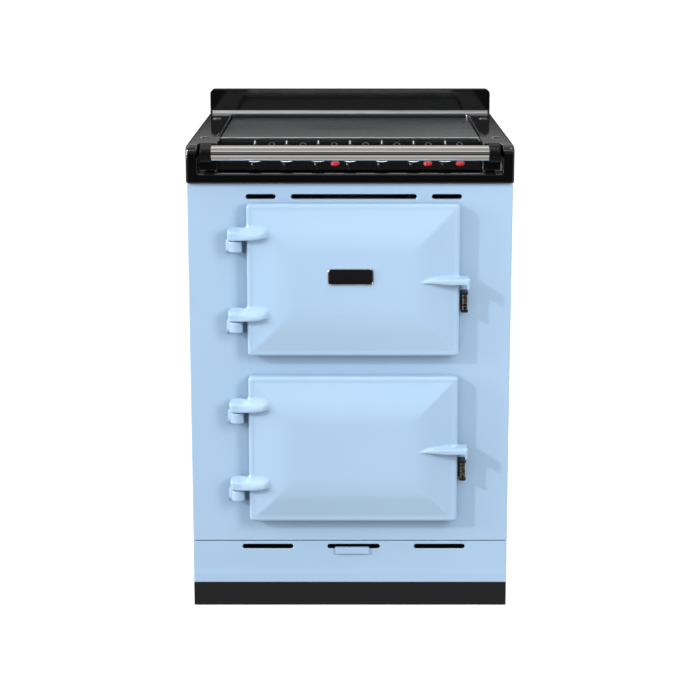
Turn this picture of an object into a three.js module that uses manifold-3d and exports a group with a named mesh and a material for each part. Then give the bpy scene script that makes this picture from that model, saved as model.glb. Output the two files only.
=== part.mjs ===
// Cast iron range cooker, 600 mm wide: two side-hinged ovens, a ceramic hob in a black enamelled
// casting, a sloping control panel with seven knobs, and a hand rail across the front.
// Millimetres, +Z up, X to the right, front of the cooker towards -Y. In the model's own numbers
// Y is 0 at the face of the front plate; the last lines centre the whole cooker on its depth.
import * as THREE from 'three';
import { mergeVertices } from 'three/addons/utils/BufferGeometryUtils.js';
import Module from 'manifold-3d';

const wasm = await Module();
wasm.setup();

// ---- driving dimensions -------------------------------------------------------------------
const CLEAR = 0.3;                // gap between pieces that touch

const BODY_WIDTH = 598;
const BODY_DEPTH = 600;
const SHEET = 2;                  // side, back and oven sheet steel
const SHEET_FLANGE = 15;

const PLINTH_TOP = 47;
const PLINTH_LIFT = 1.5;          // plinth hangs just clear of the floor
const PLINTH_WALL = 3;
const BASE_PAN_T = 3;

const FOOT_INSET = 48;            // foot axis in from the body's sides and ends
const FOOT_PAD_R = 19;
const FOOT_PAD_T = 8;
const FOOT_STEM_R = 5;
const FOOT_NUT_R = 10;
const FOOT_NUT_T = 8;

const COVER_TOP = 129.5;          // lift-off cover below the front plate
const COVER_T = 3;
const COVER_BEND_Z = 74;          // the cover leans in below this bend
const COVER_LEAN = 2;
const SEAM_GAP = 1.5;

const PLATE_T = 12;               // cast iron front plate
const TOP_BOTTOM = 818;           // underside of the black top casting
const DECK_Z = 889;
const TOP_OVERHANG = 8;           // top casting stands proud of the front plate
const TOP_SIDE_OVERHANG = 1.5;
const CHEEK_W = 21.5;
const CHEEK_ROUND = 17;
const DECK_T = 19;
const LEDGE_Z = 836;              // top of the lip below the control panel
const LEDGE_D = 26;                 // its depth, back to the foot of the control panel
const SHOULDER_W = 56.5;          // outer side of the casting to the control panel's bay
const TOP_WALL = 8;

const UPSTAND_H = 50;
const UPSTAND_T = 24;
const UPSTAND_ROUND = 10;
const UPSTAND_FOOT_R = 6;

const DECK_SIDE = 50.5;           // deck left at each side of the glass
const GLASS_FRONT = 134;
const GLASS_BACK = 549;
const GLASS_T = 6;
const GLASS_SINK = 8;             // glass lies this far below the deck
const GLASS_SEAT = 8;             // ledge that carries the glass
const GLASS_CORNER = 9;
const RIM_FRONT = 126;            // narrow rim between control panel and glass
const RIM_DROP = 4;

const ELEMENT_H = 26;
const ELEMENT_X = 118;
const ELEMENT_SPREAD_Y = 96;      // element centres before and behind the glass's centre
const ELEMENT_SMALL_R = 74;
const ELEMENT_LARGE_R = 92;
const TRAY_WALL = 2;

const FASCIA_T = 3;
const KNOB_COUNT = 7;
const KNOB_PITCH = 59;
const KNOB_UP = 0.46;             // place of the knobs up the control panel's slope
const KNOB_R = 16;
const KNOB_BASE_T = 6;
const KNOB_GRIP_R = 12.5;
const KNOB_GRIP_T = 14;
const KNOB_FIN_W = 6.5;
const KNOB_FIN_T = 25;
const SPINDLE_R = 3;
const SPINDLE_LENGTH = 20;
const RUNNING = 0.6;              // clearance of what turns in a hole
const SWITCH_TOP = 14;            // switch bank below the control panel's face
const SWITCH_H = 20;
const SWITCH_W = 34;
const SWITCH_D = 30;

const NEON_UP = 0.2;
const NEON_R = 7;
const NEON_FLANGE_R = 8.5;
const NEON_STEM = 10;
const NEON_X = [-27.5, 144, 204];

const RAIL_R = 13.75;
const RAIL_END_INSET = 46.25;     // end of the rail in from the casting's side
const RAIL_OUT = 36.3;            // rail axis in front of the front plate
const RAIL_Z = 877;
const RAIL_BRACKET_W = 20;
const RAIL_BRACKET_WALL = 2;

const DOOR_CENTRE_X = 6;
const DOOR_W = 391;
const DOOR_T = 24;                // rim of the door
const DOOR_CROWN = 15;            // crown of the door above its rim
const DOOR_BACK_GAP = 3;
const DOOR_ROUND = 5;
const DOOR_RIM = 9;
const DOOR_FACET = 70;
const DOOR_WALL = 7;
const UPPER_DOOR_Z = 640.5;
const UPPER_DOOR_H = 285;
const LOWER_DOOR_Z = 318;
const LOWER_DOOR_H = 281;
const APERTURE_LAP = 18;          // door covers the aperture by this on every side
const APERTURE_ROUND = 12;

const PIN_BESIDE_DOOR = 21.5;     // hinge axis outside the door's edge
const PIN_OUT = 18;               // hinge axis in front of the front plate
const PIN_R = 4;
const EYE_R = 13;
const ARM_H = 24;
const ARM_OVER_DOOR = 40.5;       // arm's end inside the door's edge
const ARM_TIP_OUT = 33;
const ARM_REACH = 43;
const KNUCKLE_H = 20;
const KNUCKLE_GAP = 1.5;
const HINGE_FROM_TOP = 56;
const HINGE_PITCH = 151;

const LATCH_OVER_DOOR = 71.5;     // latch's start inside the door's edge
const LATCH_PAST_DOOR = 18;
const LATCH_H = 20;
const LATCH_OUT = 45;
const LATCH_HOOK = 5;
const CATCH_BESIDE_DOOR = 9.5;
const CATCH_OUT = 25;
const CATCH_R = 5;
const CATCH_PIN_R = 2.5;
const CATCH_LUG_T = 4;
const ROLLER_H = 30;

const SLOT_H = 9;
const SLOT_CENTRE_X = 7;
const SLOT_LONG_TOP = 231;
const SLOT_SHORT_TOP = 55;
const SLOT_LONG_BASE = 100;
const SLOT_SHORT_BASE = 97;
const SLOT_TOP_Z = 792.5;
const SLOT_BASE_Z = 119;
const SLOT_TOP_PITCH = 171;
const SLOT_BASE_PITCH = 163.5;

const PULL_W = 65;                // finger pull in the middle slot of the cover
const PULL_FLAP = 10;
const PULL_OFFSET = 3;

const CAVITY_DEPTH = 400;
const CAVITY_MARGIN = 4;          // cavity mouth inside the aperture
const CAVITY_FLANGE = 10;
const RUNNER_H = 5;
const RUNNER_W = 7;
const RUNNER_SPACING = 48;
const RUNNER_COUNT = 4;
const SHELF_ROD_R = 2.5;
const SHELF_RODS = 9;
const SHELF_DEPTH = 350;
const SHELF_LEVEL = 0;
const GRILL_TUBE_R = 3.5;
const GRILL_PASSES = 4;
const GRILL_WIDTH = 270;
const GRILL_DEPTH = 300;
const GRILL_DROP = 16;

const FAN_R = 74;
const FAN_T = 20;
const FAN_BLADES = 8;
const FAN_SHAFT_R = 4;
const BAFFLE_GAP = 34;
const MOTOR_R = 34;
const MOTOR_LENGTH = 46;

const INSULATION_TOP = 780;
const INSULATION_BOTTOM = 150;
const GLAND_R = 11;
const GLAND_Z = 92;
const VENT_COUNT = 7;
const VENT_PITCH = 40;
const VENT_H = 60;

// ---- finishes -------------------------------------------------------------------------------
const finish = (color, roughness, metalness) =>
  new THREE.MeshStandardMaterial({ color, roughness, metalness });
const BLUE_ENAMEL = finish(0xa9cbea, 0.18, 0.0);
const BLACK_ENAMEL = finish(0x08080a, 0.08, 0.0);
const PLINTH_BLACK = finish(0x1a1b1d, 0.45, 0.0);
const GLASS_BLACK = finish(0x2b2d30, 0.12, 0.0);
const POLISHED_STEEL = finish(0xd6d4cf, 0.16, 1.0);
const GALVANISED = finish(0x9a9da0, 0.5, 0.8);
const OVEN_ENAMEL = finish(0x23252a, 0.35, 0.1);
const MINERAL_WOOL = finish(0xb9ae8e, 0.95, 0.0);
const KNOB_BLACK = finish(0x0b0b0c, 0.22, 0.0);
const NEON_RED = finish(0xc01818, 0.2, 0.0);
const DULL_STEEL = finish(0x85796a, 0.42, 0.9);
const ROPE_SEAL = finish(0x6d6a62, 0.9, 0.0);

// ---- making solids --------------------------------------------------------------------------
// Shape coordinates (u, v) and extrusion w, turned so that the section lies across X, Y or Z.
const ALONG_X = new THREE.Matrix4().set(0, 0, 1, 0, 1, 0, 0, 0, 0, 1, 0, 0, 0, 0, 0, 1);
const ALONG_Y = new THREE.Matrix4().set(1, 0, 0, 0, 0, 0, -1, 0, 0, 1, 0, 0, 0, 0, 0, 1);
const ALONG_Z = new THREE.Matrix4();

function solid(geometry) {
  const bare = geometry.index ? geometry.toNonIndexed() : geometry.clone();
  bare.deleteAttribute('normal');
  bare.deleteAttribute('uv');
  const merged = mergeVertices(bare, 1e-4);
  return new wasm.Manifold(new wasm.Mesh({
    numProp: 3,
    vertProperties: new Float32Array(merged.attributes.position.array),
    triVerts: new Uint32Array(merged.index.array),
  }));
}

function piece(name, body, material) {
  const cut = body.getMesh();
  const geometry = new THREE.BufferGeometry();
  geometry.setAttribute('position', new THREE.BufferAttribute(cut.vertProperties, 3));
  geometry.setIndex(new THREE.BufferAttribute(cut.triVerts, 1));
  geometry.computeVertexNormals();
  const mesh = new THREE.Mesh(geometry, material);
  mesh.name = name;
  return mesh;
}

function box(x0, x1, y0, y1, z0, z1) {
  const geometry = new THREE.BoxGeometry(x1 - x0, y1 - y0, z1 - z0);
  geometry.translate((x0 + x1) / 2, (y0 + y1) / 2, (z0 + z1) / 2);
  return solid(geometry);
}

// Extrudes a section along an axis from a to b; an ALONG_Y section runs from b back to a.
function prism(shape, axis, a, b, curveSegments = 6) {
  const geometry = new THREE.ExtrudeGeometry(shape, { depth: b - a, bevelEnabled: false, curveSegments });
  geometry.applyMatrix4(axis);
  if (axis === ALONG_X) geometry.translate(a, 0, 0);
  if (axis === ALONG_Y) geometry.translate(0, b, 0);
  if (axis === ALONG_Z) geometry.translate(0, 0, a);
  return solid(geometry);
}

function polygon(points) {
  return new THREE.Shape(points.map(([u, v]) => new THREE.Vector2(u, v)));
}

function roundedRect(u0, u1, v0, v1, r) {
  const shape = new THREE.Shape();
  shape.moveTo(u0 + r, v0);
  shape.lineTo(u1 - r, v0);
  shape.absarc(u1 - r, v0 + r, r, -Math.PI / 2, 0);
  shape.lineTo(u1, v1 - r);
  shape.absarc(u1 - r, v1 - r, r, 0, Math.PI / 2);
  shape.lineTo(u0 + r, v1);
  shape.absarc(u0 + r, v1 - r, r, Math.PI / 2, Math.PI);
  shape.lineTo(u0, v0 + r);
  shape.absarc(u0 + r, v0 + r, r, Math.PI, Math.PI * 1.5);
  return shape;
}

// A cylinder from a to b along X, Y or Z, through the two other coordinates of its axis.
function rod(axis, p, q, a, b, r, sides = 12) {
  const geometry = new THREE.CylinderGeometry(r, r, b - a, sides);
  if (axis === 'x') geometry.rotateZ(Math.PI / 2).translate((a + b) / 2, p, q);
  if (axis === 'y') geometry.translate(p, (a + b) / 2, q);
  if (axis === 'z') geometry.rotateX(Math.PI / 2).translate(p, q, (a + b) / 2);
  return solid(geometry);
}

const join = (first, ...rest) => rest.reduce((whole, next) => whole.add(next), first);
const cut = (first, ...rest) => rest.reduce((whole, next) => whole.subtract(next), first);
const range = (count) => Array.from({ length: count }, (_, i) => i);

const cooker = new THREE.Group();
const add = (name, body, material, parent = cooker) => parent.add(piece(name, body, material));

const HALF_W = BODY_WIDTH / 2;
const PLATE_BOTTOM = COVER_TOP + SEAM_GAP;
const PLATE_TOP = TOP_BOTTOM - CLEAR;
const PAN_TOP = PLINTH_TOP + CLEAR + BASE_PAN_T;

// ---- base: feet, plinth and pan ---------------------------------------------------------------
function makeBase() {
  const plinth = cut(
    box(-HALF_W, HALF_W, 0, BODY_DEPTH, PLINTH_LIFT, PLINTH_TOP),
    box(-HALF_W + PLINTH_WALL, HALF_W - PLINTH_WALL, PLINTH_WALL, BODY_DEPTH - PLINTH_WALL,
      0, PLINTH_TOP + 1),
  );
  add('base_plinth', plinth, PLINTH_BLACK);

  const panHalf = HALF_W - SHEET - CLEAR;
  let pan = box(-panHalf, panHalf, PLATE_T, BODY_DEPTH - SHEET - CLEAR, PLINTH_TOP + CLEAR, PAN_TOP);
  const footX = HALF_W - FOOT_INSET;
  const stemTop = PAN_TOP + FOOT_NUT_T;
  for (const [row, y] of [['front', FOOT_INSET], ['rear', BODY_DEPTH - FOOT_INSET]]) {
    for (const [side, x] of [['left', -footX], ['right', footX]]) {
      pan = cut(pan, rod('z', x, y, 0, stemTop, FOOT_STEM_R + CLEAR));
      const foot = join(
        rod('z', x, y, 0, FOOT_PAD_T, FOOT_PAD_R, 20),
        rod('z', x, y, FOOT_PAD_T - 1, stemTop, FOOT_STEM_R, 10),
        rod('z', x, y, PLINTH_TOP - FOOT_NUT_T, PLINTH_TOP, FOOT_NUT_R, 6),
      );
      add(`levelling_foot_${row}_${side}`, foot, DULL_STEEL);
    }
  }
  add('base_pan', pan, GALVANISED);
}

// ---- sheet steel sides and back ---------------------------------------------------------------
function makeCasing() {
  const front = PLATE_T + CLEAR;
  const back = BODY_DEPTH - SHEET - CLEAR;
  for (const [name, side] of [['left_side_panel', -1], ['right_side_panel', 1]]) {
    const outer = side * HALF_W;
    const inner = side * (HALF_W - SHEET);
    const lip = side * (HALF_W - SHEET_FLANGE);
    const section = polygon([
      [outer, front], [outer, back], [lip, back], [lip, back - SHEET],
      [inner, back - SHEET], [inner, front + SHEET], [lip, front + SHEET], [lip, front],
    ]);
    // The flanges stop above the base pan, which runs between the two sheets.
    const panel = cut(
      prism(section, ALONG_Z, PLINTH_TOP + CLEAR, PLATE_TOP),
      box(-HALF_W + SHEET, HALF_W - SHEET, 0, BODY_DEPTH, 0, PAN_TOP + CLEAR),
    );
    add(name, panel, BLUE_ENAMEL);
  }

  let rear = box(-HALF_W, HALF_W, BODY_DEPTH - SHEET, BODY_DEPTH, PLINTH_TOP + CLEAR, PLATE_TOP);
  const ventTop = PLATE_TOP - SHEET_FLANGE;
  for (const i of range(VENT_COUNT)) {
    const x = (i - (VENT_COUNT - 1) / 2) * VENT_PITCH;
    const vent = roundedRect(x - SLOT_H / 2, x + SLOT_H / 2, ventTop - VENT_H, ventTop, SLOT_H / 3);
    rear = cut(rear, prism(vent, ALONG_Y, BODY_DEPTH - 2 * SHEET, BODY_DEPTH + SHEET, 2));
  }
  const glandX = HALF_W - FOOT_INSET * 2;
  rear = join(rear, rod('y', glandX, GLAND_Z, BODY_DEPTH - 4 * SHEET, BODY_DEPTH - SHEET / 2, GLAND_R + SHEET));
  rear = cut(rear, rod('y', glandX, GLAND_Z, BODY_DEPTH - 5 * SHEET, BODY_DEPTH + SHEET, GLAND_R));
  add('back_panel', rear, GALVANISED);
}

// ---- doors' common geometry ---------------------------------------------------------------------
const DOORS = [
  { name: 'upper', z: UPPER_DOOR_Z, height: UPPER_DOOR_H },
  { name: 'lower', z: LOWER_DOOR_Z, height: LOWER_DOOR_H },
];
const DOOR_X0 = DOOR_CENTRE_X - DOOR_W / 2;
const DOOR_X1 = DOOR_CENTRE_X + DOOR_W / 2;
const PIN_X = DOOR_X0 - PIN_BESIDE_DOOR;
const ARM_END_X = DOOR_X0 + ARM_OVER_DOOR;
const LATCH_START_X = DOOR_X1 - LATCH_OVER_DOOR;
const LATCH_END_X = DOOR_X1 + LATCH_PAST_DOOR;
const CATCH_X = DOOR_X1 + CATCH_BESIDE_DOOR;

// The two hinge arms' undersides, from the top of the door.
function hingeArms(door) {
  const first = door.z + door.height / 2 - HINGE_FROM_TOP - ARM_H / 2;
  return [first, first - HINGE_PITCH];
}

function aperture(door, margin) {
  const inset = APERTURE_LAP + margin;
  return {
    x0: DOOR_X0 + inset,
    x1: DOOR_X1 - inset,
    z0: door.z - door.height / 2 + inset,
    z1: door.z + door.height / 2 - inset,
  };
}

function slots(z, long, short, pitch) {
  const at = [[-pitch, short], [0, long], [pitch, short]];
  return at.map(([offset, length]) => {
    const x = SLOT_CENTRE_X + offset;
    return roundedRect(x - length / 2, x + length / 2, z - SLOT_H / 2, z + SLOT_H / 2, SLOT_H / 2 - 0.1);
  });
}

// ---- cast front plate with its hinge knuckles, and the cover below it ------------------------------
function makeFront() {
  let plate = box(-HALF_W, HALF_W, 0, PLATE_T, PLATE_BOTTOM, PLATE_TOP);
  for (const door of DOORS) {
    const hole = aperture(door, 0);
    const outline = roundedRect(hole.x0, hole.x1, hole.z0, hole.z1, APERTURE_ROUND);
    plate = cut(plate, prism(outline, ALONG_Y, -1, PLATE_T + 1, 3));
  }
  for (const slot of slots(SLOT_TOP_Z, SLOT_LONG_TOP, SLOT_SHORT_TOP, SLOT_TOP_PITCH)) {
    plate = cut(plate, prism(slot, ALONG_Y, -1, PLATE_T + 1, 3));
  }
  for (const door of DOORS) {
    hingeArms(door).forEach((armZ, i) => {
      const top = armZ - KNUCKLE_GAP;
      const bottom = top - KNUCKLE_H;
      const stem = box(PIN_X - EYE_R, PIN_X + EYE_R, -PIN_OUT, 1, bottom, top);
      const eye = rod('z', PIN_X, -PIN_OUT, bottom, top, EYE_R, 20);
      const bore = rod('z', PIN_X, -PIN_OUT, bottom + PIN_R, top + 1, PIN_R + CLEAR);
      plate = cut(join(plate, stem, eye), bore);
      const pin = rod('z', PIN_X, -PIN_OUT, bottom + PIN_R + CLEAR, armZ + ARM_H - PIN_R - CLEAR, PIN_R);
      add(`${door.name}_hinge_pin_${i === 0 ? 'top' : 'bottom'}`, pin, DULL_STEEL);
    });
  }
  add('front_plate', plate, BLUE_ENAMEL);

  const section = polygon([
    [COVER_LEAN, PLINTH_TOP + CLEAR], [0, COVER_BEND_Z], [0, COVER_TOP], [PLATE_T - CLEAR, COVER_TOP],
    [PLATE_T - CLEAR, COVER_TOP - COVER_T], [COVER_T, COVER_TOP - COVER_T], [COVER_T, COVER_BEND_Z],
    [COVER_LEAN + COVER_T, PLINTH_TOP + CLEAR],
  ]);
  let cover = prism(section, ALONG_X, -HALF_W, HALF_W);
  const coverSlots = slots(SLOT_BASE_Z, SLOT_LONG_BASE, SLOT_SHORT_BASE, SLOT_BASE_PITCH);
  for (const slot of coverSlots) {
    cover = cut(cover, prism(slot, ALONG_Y, -1, COVER_T + 1, 3));
  }
  add('plinth_cover', cover, BLUE_ENAMEL);
}

// Bent strip that grips the lower edge of the cover's middle slot, with a flap to pull the cover off by.
function makeFingerPull() {
  const strip = 2.5;
  const behind = COVER_T + CLEAR;
  const seat = SLOT_BASE_Z - SLOT_H / 2 + CLEAR;
  const section = polygon([
    [-CLEAR, seat], [-CLEAR, seat - PULL_FLAP], [-CLEAR - strip, seat - PULL_FLAP], [-CLEAR - strip, seat + strip],
    [behind + strip, seat + strip], [behind + strip, seat - PULL_FLAP / 2], [behind, seat - PULL_FLAP / 2],
    [behind, seat],
  ]);
  const x = SLOT_CENTRE_X - PULL_OFFSET;
  add('finger_pull', prism(section, ALONG_X, x - PULL_W / 2, x + PULL_W / 2), BLUE_ENAMEL);
}

// ---- black top casting, rear upstand ----------------------------------------------------------------
const GLASS_TOP = DECK_Z - GLASS_SINK;
const GLASS_BOTTOM = GLASS_TOP - GLASS_T;
const RIM_TOP = DECK_Z - RIM_DROP;
const TOP_HALF_W = HALF_W + TOP_SIDE_OVERHANG;
const GLASS_HALF_W = TOP_HALF_W - DECK_SIDE;
const SHOULDER_INNER = TOP_HALF_W - SHOULDER_W;

function makeTopCasting() {
  const cheek = new THREE.Shape();
  cheek.moveTo(BODY_DEPTH, TOP_BOTTOM);
  cheek.lineTo(BODY_DEPTH, DECK_Z);
  cheek.lineTo(-TOP_OVERHANG + CHEEK_ROUND, DECK_Z);
  cheek.absarc(-TOP_OVERHANG + CHEEK_ROUND, DECK_Z - CHEEK_ROUND, CHEEK_ROUND, Math.PI / 2, Math.PI);
  cheek.lineTo(-TOP_OVERHANG, TOP_BOTTOM);
  const recess = roundedRect(-GLASS_HALF_W, GLASS_HALF_W, GLASS_FRONT, GLASS_BACK, GLASS_CORNER);
  const opening = roundedRect(-GLASS_HALF_W + GLASS_SEAT, GLASS_HALF_W - GLASS_SEAT,
    GLASS_FRONT + GLASS_SEAT, GLASS_BACK - GLASS_SEAT, GLASS_CORNER);
  const inner = TOP_HALF_W - CHEEK_W;
  const over = DECK_Z + 1;
  const under = TOP_BOTTOM - 1;
  const casting = cut(
    prism(cheek, ALONG_X, -TOP_HALF_W, TOP_HALF_W, 8),
    box(-inner, inner, -TOP_OVERHANG - 1, LEDGE_D, LEDGE_Z, over),
    box(-SHOULDER_INNER, SHOULDER_INNER, LEDGE_D, RIM_FRONT, under, over),
    box(-SHOULDER_INNER, SHOULDER_INNER, LEDGE_D - 1, LEDGE_D + 1, LEDGE_Z, over),
    box(-SHOULDER_INNER, SHOULDER_INNER, RIM_FRONT - 1, GLASS_FRONT + 1, RIM_TOP, over),
    box(-inner, inner, RIM_FRONT - 1, BODY_DEPTH - TOP_WALL, under, DECK_Z - DECK_T),
    prism(recess, ALONG_Z, GLASS_BOTTOM - CLEAR, over),
    prism(opening, ALONG_Z, DECK_Z - DECK_T - 1, over),
  );
  add('top_casting', casting, BLACK_ENAMEL);

  const upstandFront = BODY_DEPTH - UPSTAND_T;
  const bottom = DECK_Z + CLEAR;
  const top = DECK_Z + UPSTAND_H;
  const half = TOP_HALF_W - UPSTAND_FOOT_R / 2;
  const face = new THREE.Shape();
  face.moveTo(-half, bottom);
  face.lineTo(half, bottom);
  face.lineTo(half, top - UPSTAND_ROUND);
  face.absarc(half - UPSTAND_ROUND, top - UPSTAND_ROUND, UPSTAND_ROUND, 0, Math.PI / 2);
  face.lineTo(-half + UPSTAND_ROUND, top);
  face.absarc(-half + UPSTAND_ROUND, top - UPSTAND_ROUND, UPSTAND_ROUND, Math.PI / 2, Math.PI);
  // A cove runs along the upstand's foot, where it meets the deck.
  const cove = new THREE.Shape();
  cove.moveTo(upstandFront + 1, bottom);
  cove.lineTo(upstandFront + 1, bottom + UPSTAND_FOOT_R);
  cove.lineTo(upstandFront, bottom + UPSTAND_FOOT_R);
  cove.absarc(upstandFront - UPSTAND_FOOT_R, bottom + UPSTAND_FOOT_R + 1, UPSTAND_FOOT_R,
    0, -Math.PI / 2, true);
  cove.lineTo(upstandFront - UPSTAND_FOOT_R, bottom);
  const upstand = join(
    prism(face, ALONG_Y, upstandFront, BODY_DEPTH, 8),
    prism(cove, ALONG_X, -half, half, 5),
  );
  add('rear_upstand', upstand, BLACK_ENAMEL);
}

// ---- ceramic hob ------------------------------------------------------------------------------------
const ELEMENTS = [
  { name: 'front_left', x: -ELEMENT_X, side: -1, r: ELEMENT_SMALL_R },
  { name: 'front_right', x: ELEMENT_X, side: -1, r: ELEMENT_LARGE_R },
  { name: 'rear_left', x: -ELEMENT_X, side: 1, r: ELEMENT_LARGE_R },
  { name: 'rear_right', x: ELEMENT_X, side: 1, r: ELEMENT_SMALL_R },
];

function makeHob() {
  const gap = 1;
  const glass = roundedRect(-GLASS_HALF_W + gap, GLASS_HALF_W - gap,
    GLASS_FRONT + gap, GLASS_BACK - gap, GLASS_CORNER - gap);
  add('hob_glass', prism(glass, ALONG_Z, GLASS_BOTTOM, GLASS_TOP, 4), GLASS_BLACK);

  const elementTop = GLASS_BOTTOM - CLEAR;
  const elementBottom = elementTop - ELEMENT_H;
  const middleY = (GLASS_FRONT + GLASS_BACK) / 2;
  for (const { name, x, side, r } of ELEMENTS) {
    const y = middleY + side * ELEMENT_SPREAD_Y;
    // A shallow insulated pan; the heated face lies in it, ribbed by its winding.
    const dish = cut(
      rod('z', x, y, elementBottom, elementTop, r, 28),
      rod('z', x, y, elementTop - 4, elementTop + 1, r - 5, 28),
    );
    add(`hob_element_${name}`, dish, DULL_STEEL);
  }

  const trayBottom = elementBottom - CLEAR - TRAY_WALL;
  const trayTop = DECK_Z - DECK_T - CLEAR;
  const wall = TRAY_WALL;
  const half = GLASS_HALF_W + wall;
  const y0 = GLASS_FRONT;
  const y1 = GLASS_BACK + wall;
  const tray = cut(
    box(-half, half, y0, y1, trayBottom, trayTop),
    box(-half + wall, half - wall, y0 + wall, y1 - wall, trayBottom + wall, trayTop + 1),
  );
  add('hob_tray', tray, GALVANISED);
}

// ---- sloping control panel: its face, switches, knobs and neons ----------------------------------------
function makeControls() {
  const low = new THREE.Vector2(LEDGE_D + CLEAR, LEDGE_Z + CLEAR);
  const high = new THREE.Vector2(RIM_FRONT - CLEAR, RIM_TOP - 2 * FASCIA_T);
  const length = low.distanceTo(high) - FASCIA_T;
  const slope = Math.atan2(high.y - low.y, high.x - low.x);

  // In this group X runs along the panel, Y up its slope and Z out of its face.
  const panel = new THREE.Group();
  panel.position.set(0, low.x, low.y + FASCIA_T);
  panel.rotation.x = slope;
  cooker.add(panel);

  const half = SHOULDER_INNER - CLEAR;
  const knobY = KNOB_UP * length;
  const neonY = NEON_UP * length;
  const knobX = range(KNOB_COUNT).map((i) => (i - (KNOB_COUNT - 1) / 2) * KNOB_PITCH);
  let fascia = box(-half, half, 0, length, -FASCIA_T, 0);
  for (const x of knobX) {
    fascia = cut(fascia, rod('z', x, knobY, -FASCIA_T - 1, 1, SPINDLE_R + RUNNING));
  }
  for (const x of NEON_X) {
    fascia = cut(fascia, rod('z', x, neonY, -FASCIA_T - 1, 1, NEON_R + CLEAR));
  }
  add('control_fascia', fascia, BLACK_ENAMEL, panel);

  // The switches hang from one strip that is screwed to the back of the control panel.
  let bank = box(knobX[0], knobX.at(-1), knobY + SWITCH_D / 3, knobY + SWITCH_D / 2,
    -FASCIA_T - SWITCH_TOP, -FASCIA_T - CLEAR);
  for (const x of knobX) {
    bank = join(bank, box(x - SWITCH_W / 2, x + SWITCH_W / 2, knobY - SWITCH_D / 2, knobY + SWITCH_D / 2,
      -SWITCH_TOP - SWITCH_H, -SWITCH_TOP));
  }
  for (const x of knobX) {
    bank = cut(bank, rod('z', x, knobY, -SPINDLE_LENGTH - RUNNING, 0, SPINDLE_R + CLEAR, 8));
  }
  add('switch_bank', bank, GALVANISED, panel);

  const lift = 0.6;
  knobX.forEach((x, i) => {
    const fin = prism(roundedRect(x - KNOB_FIN_W / 2, x + KNOB_FIN_W / 2, knobY - KNOB_R + 1,
      knobY + KNOB_R - 1, KNOB_FIN_W / 2 - 0.2), ALONG_Z, lift + 1, lift + KNOB_FIN_T, 3);
    const knob = join(
      rod('z', x, knobY, lift, lift + KNOB_BASE_T, KNOB_R, 24),
      rod('z', x, knobY, lift + 1, lift + KNOB_GRIP_T, KNOB_GRIP_R, 16),
      fin,
      rod('z', x, knobY, -SPINDLE_LENGTH, lift + 1, SPINDLE_R, 8),
    );
    add(`control_knob_${i + 1}`, knob, KNOB_BLACK, panel);
  });

  NEON_X.forEach((x, i) => {
    const flange = 1.5;
    const dome = [[0, 4.5], [3, 4], [5.4, 2.6], [NEON_FLANGE_R, flange], [NEON_FLANGE_R, CLEAR],
      [NEON_R, CLEAR], [NEON_R, -NEON_STEM], [0, -NEON_STEM]];
    const profile = dome.reverse().map(([r, z]) => new THREE.Vector2(r, z));
    const lens = new THREE.LatheGeometry(profile, 12).rotateX(Math.PI / 2).translate(x, neonY, 0);
    add(`neon_lens_${i + 1}`, solid(lens), NEON_RED, panel);
  });
}

// ---- hand rail ------------------------------------------------------------------------------------------
function makeRail() {
  const half = TOP_HALF_W - RAIL_END_INSET;
  const rail = rod('x', -RAIL_OUT, RAIL_Z, -half, half, RAIL_R, 24);
  add('hand_rail', rail, POLISHED_STEEL);
  // Each end sits in a socket, whose arm runs back to the shoulder beside the control panel.
  const socketR = RAIL_R + CLEAR + RAIL_BRACKET_WALL;
  const grip = 4;
  for (const [name, side] of [['left_rail_bracket', -1], ['right_rail_bracket', 1]]) {
    const outer = side * (half + RAIL_BRACKET_W - grip);
    const inner = side * (half - grip);
    const x0 = Math.min(outer, inner);
    const x1 = Math.max(outer, inner);
    const a = side > 0 ? x0 - 1 : side * (half + CLEAR);
    const b = side > 0 ? half + CLEAR : x1 + 1;
    const bracket = cut(
      join(
        rod('x', -RAIL_OUT, RAIL_Z, x0, x1, socketR, 24),
        box(x0 + 1, x1 - 1, -RAIL_OUT, LEDGE_D - CLEAR, RAIL_Z - RAIL_R, RAIL_Z + RAIL_R / 2),
      ),
      rod('x', -RAIL_OUT, RAIL_Z, a, b, RAIL_R + CLEAR, 24),
    );
    add(name, bracket, BLACK_ENAMEL);
  }
}

// ---- ovens: enamelled cavities, shelves, heating and fan, and the mineral wool round them ------------------
const OVEN_FRONT = PLATE_T + CLEAR;
const OVEN_BACK = OVEN_FRONT + CAVITY_DEPTH;

function cavityBox(door, grow, y0, y1) {
  const mouth = aperture(door, CAVITY_MARGIN - grow);
  return box(mouth.x0, mouth.x1, y0, y1, mouth.z0, mouth.z1);
}

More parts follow.
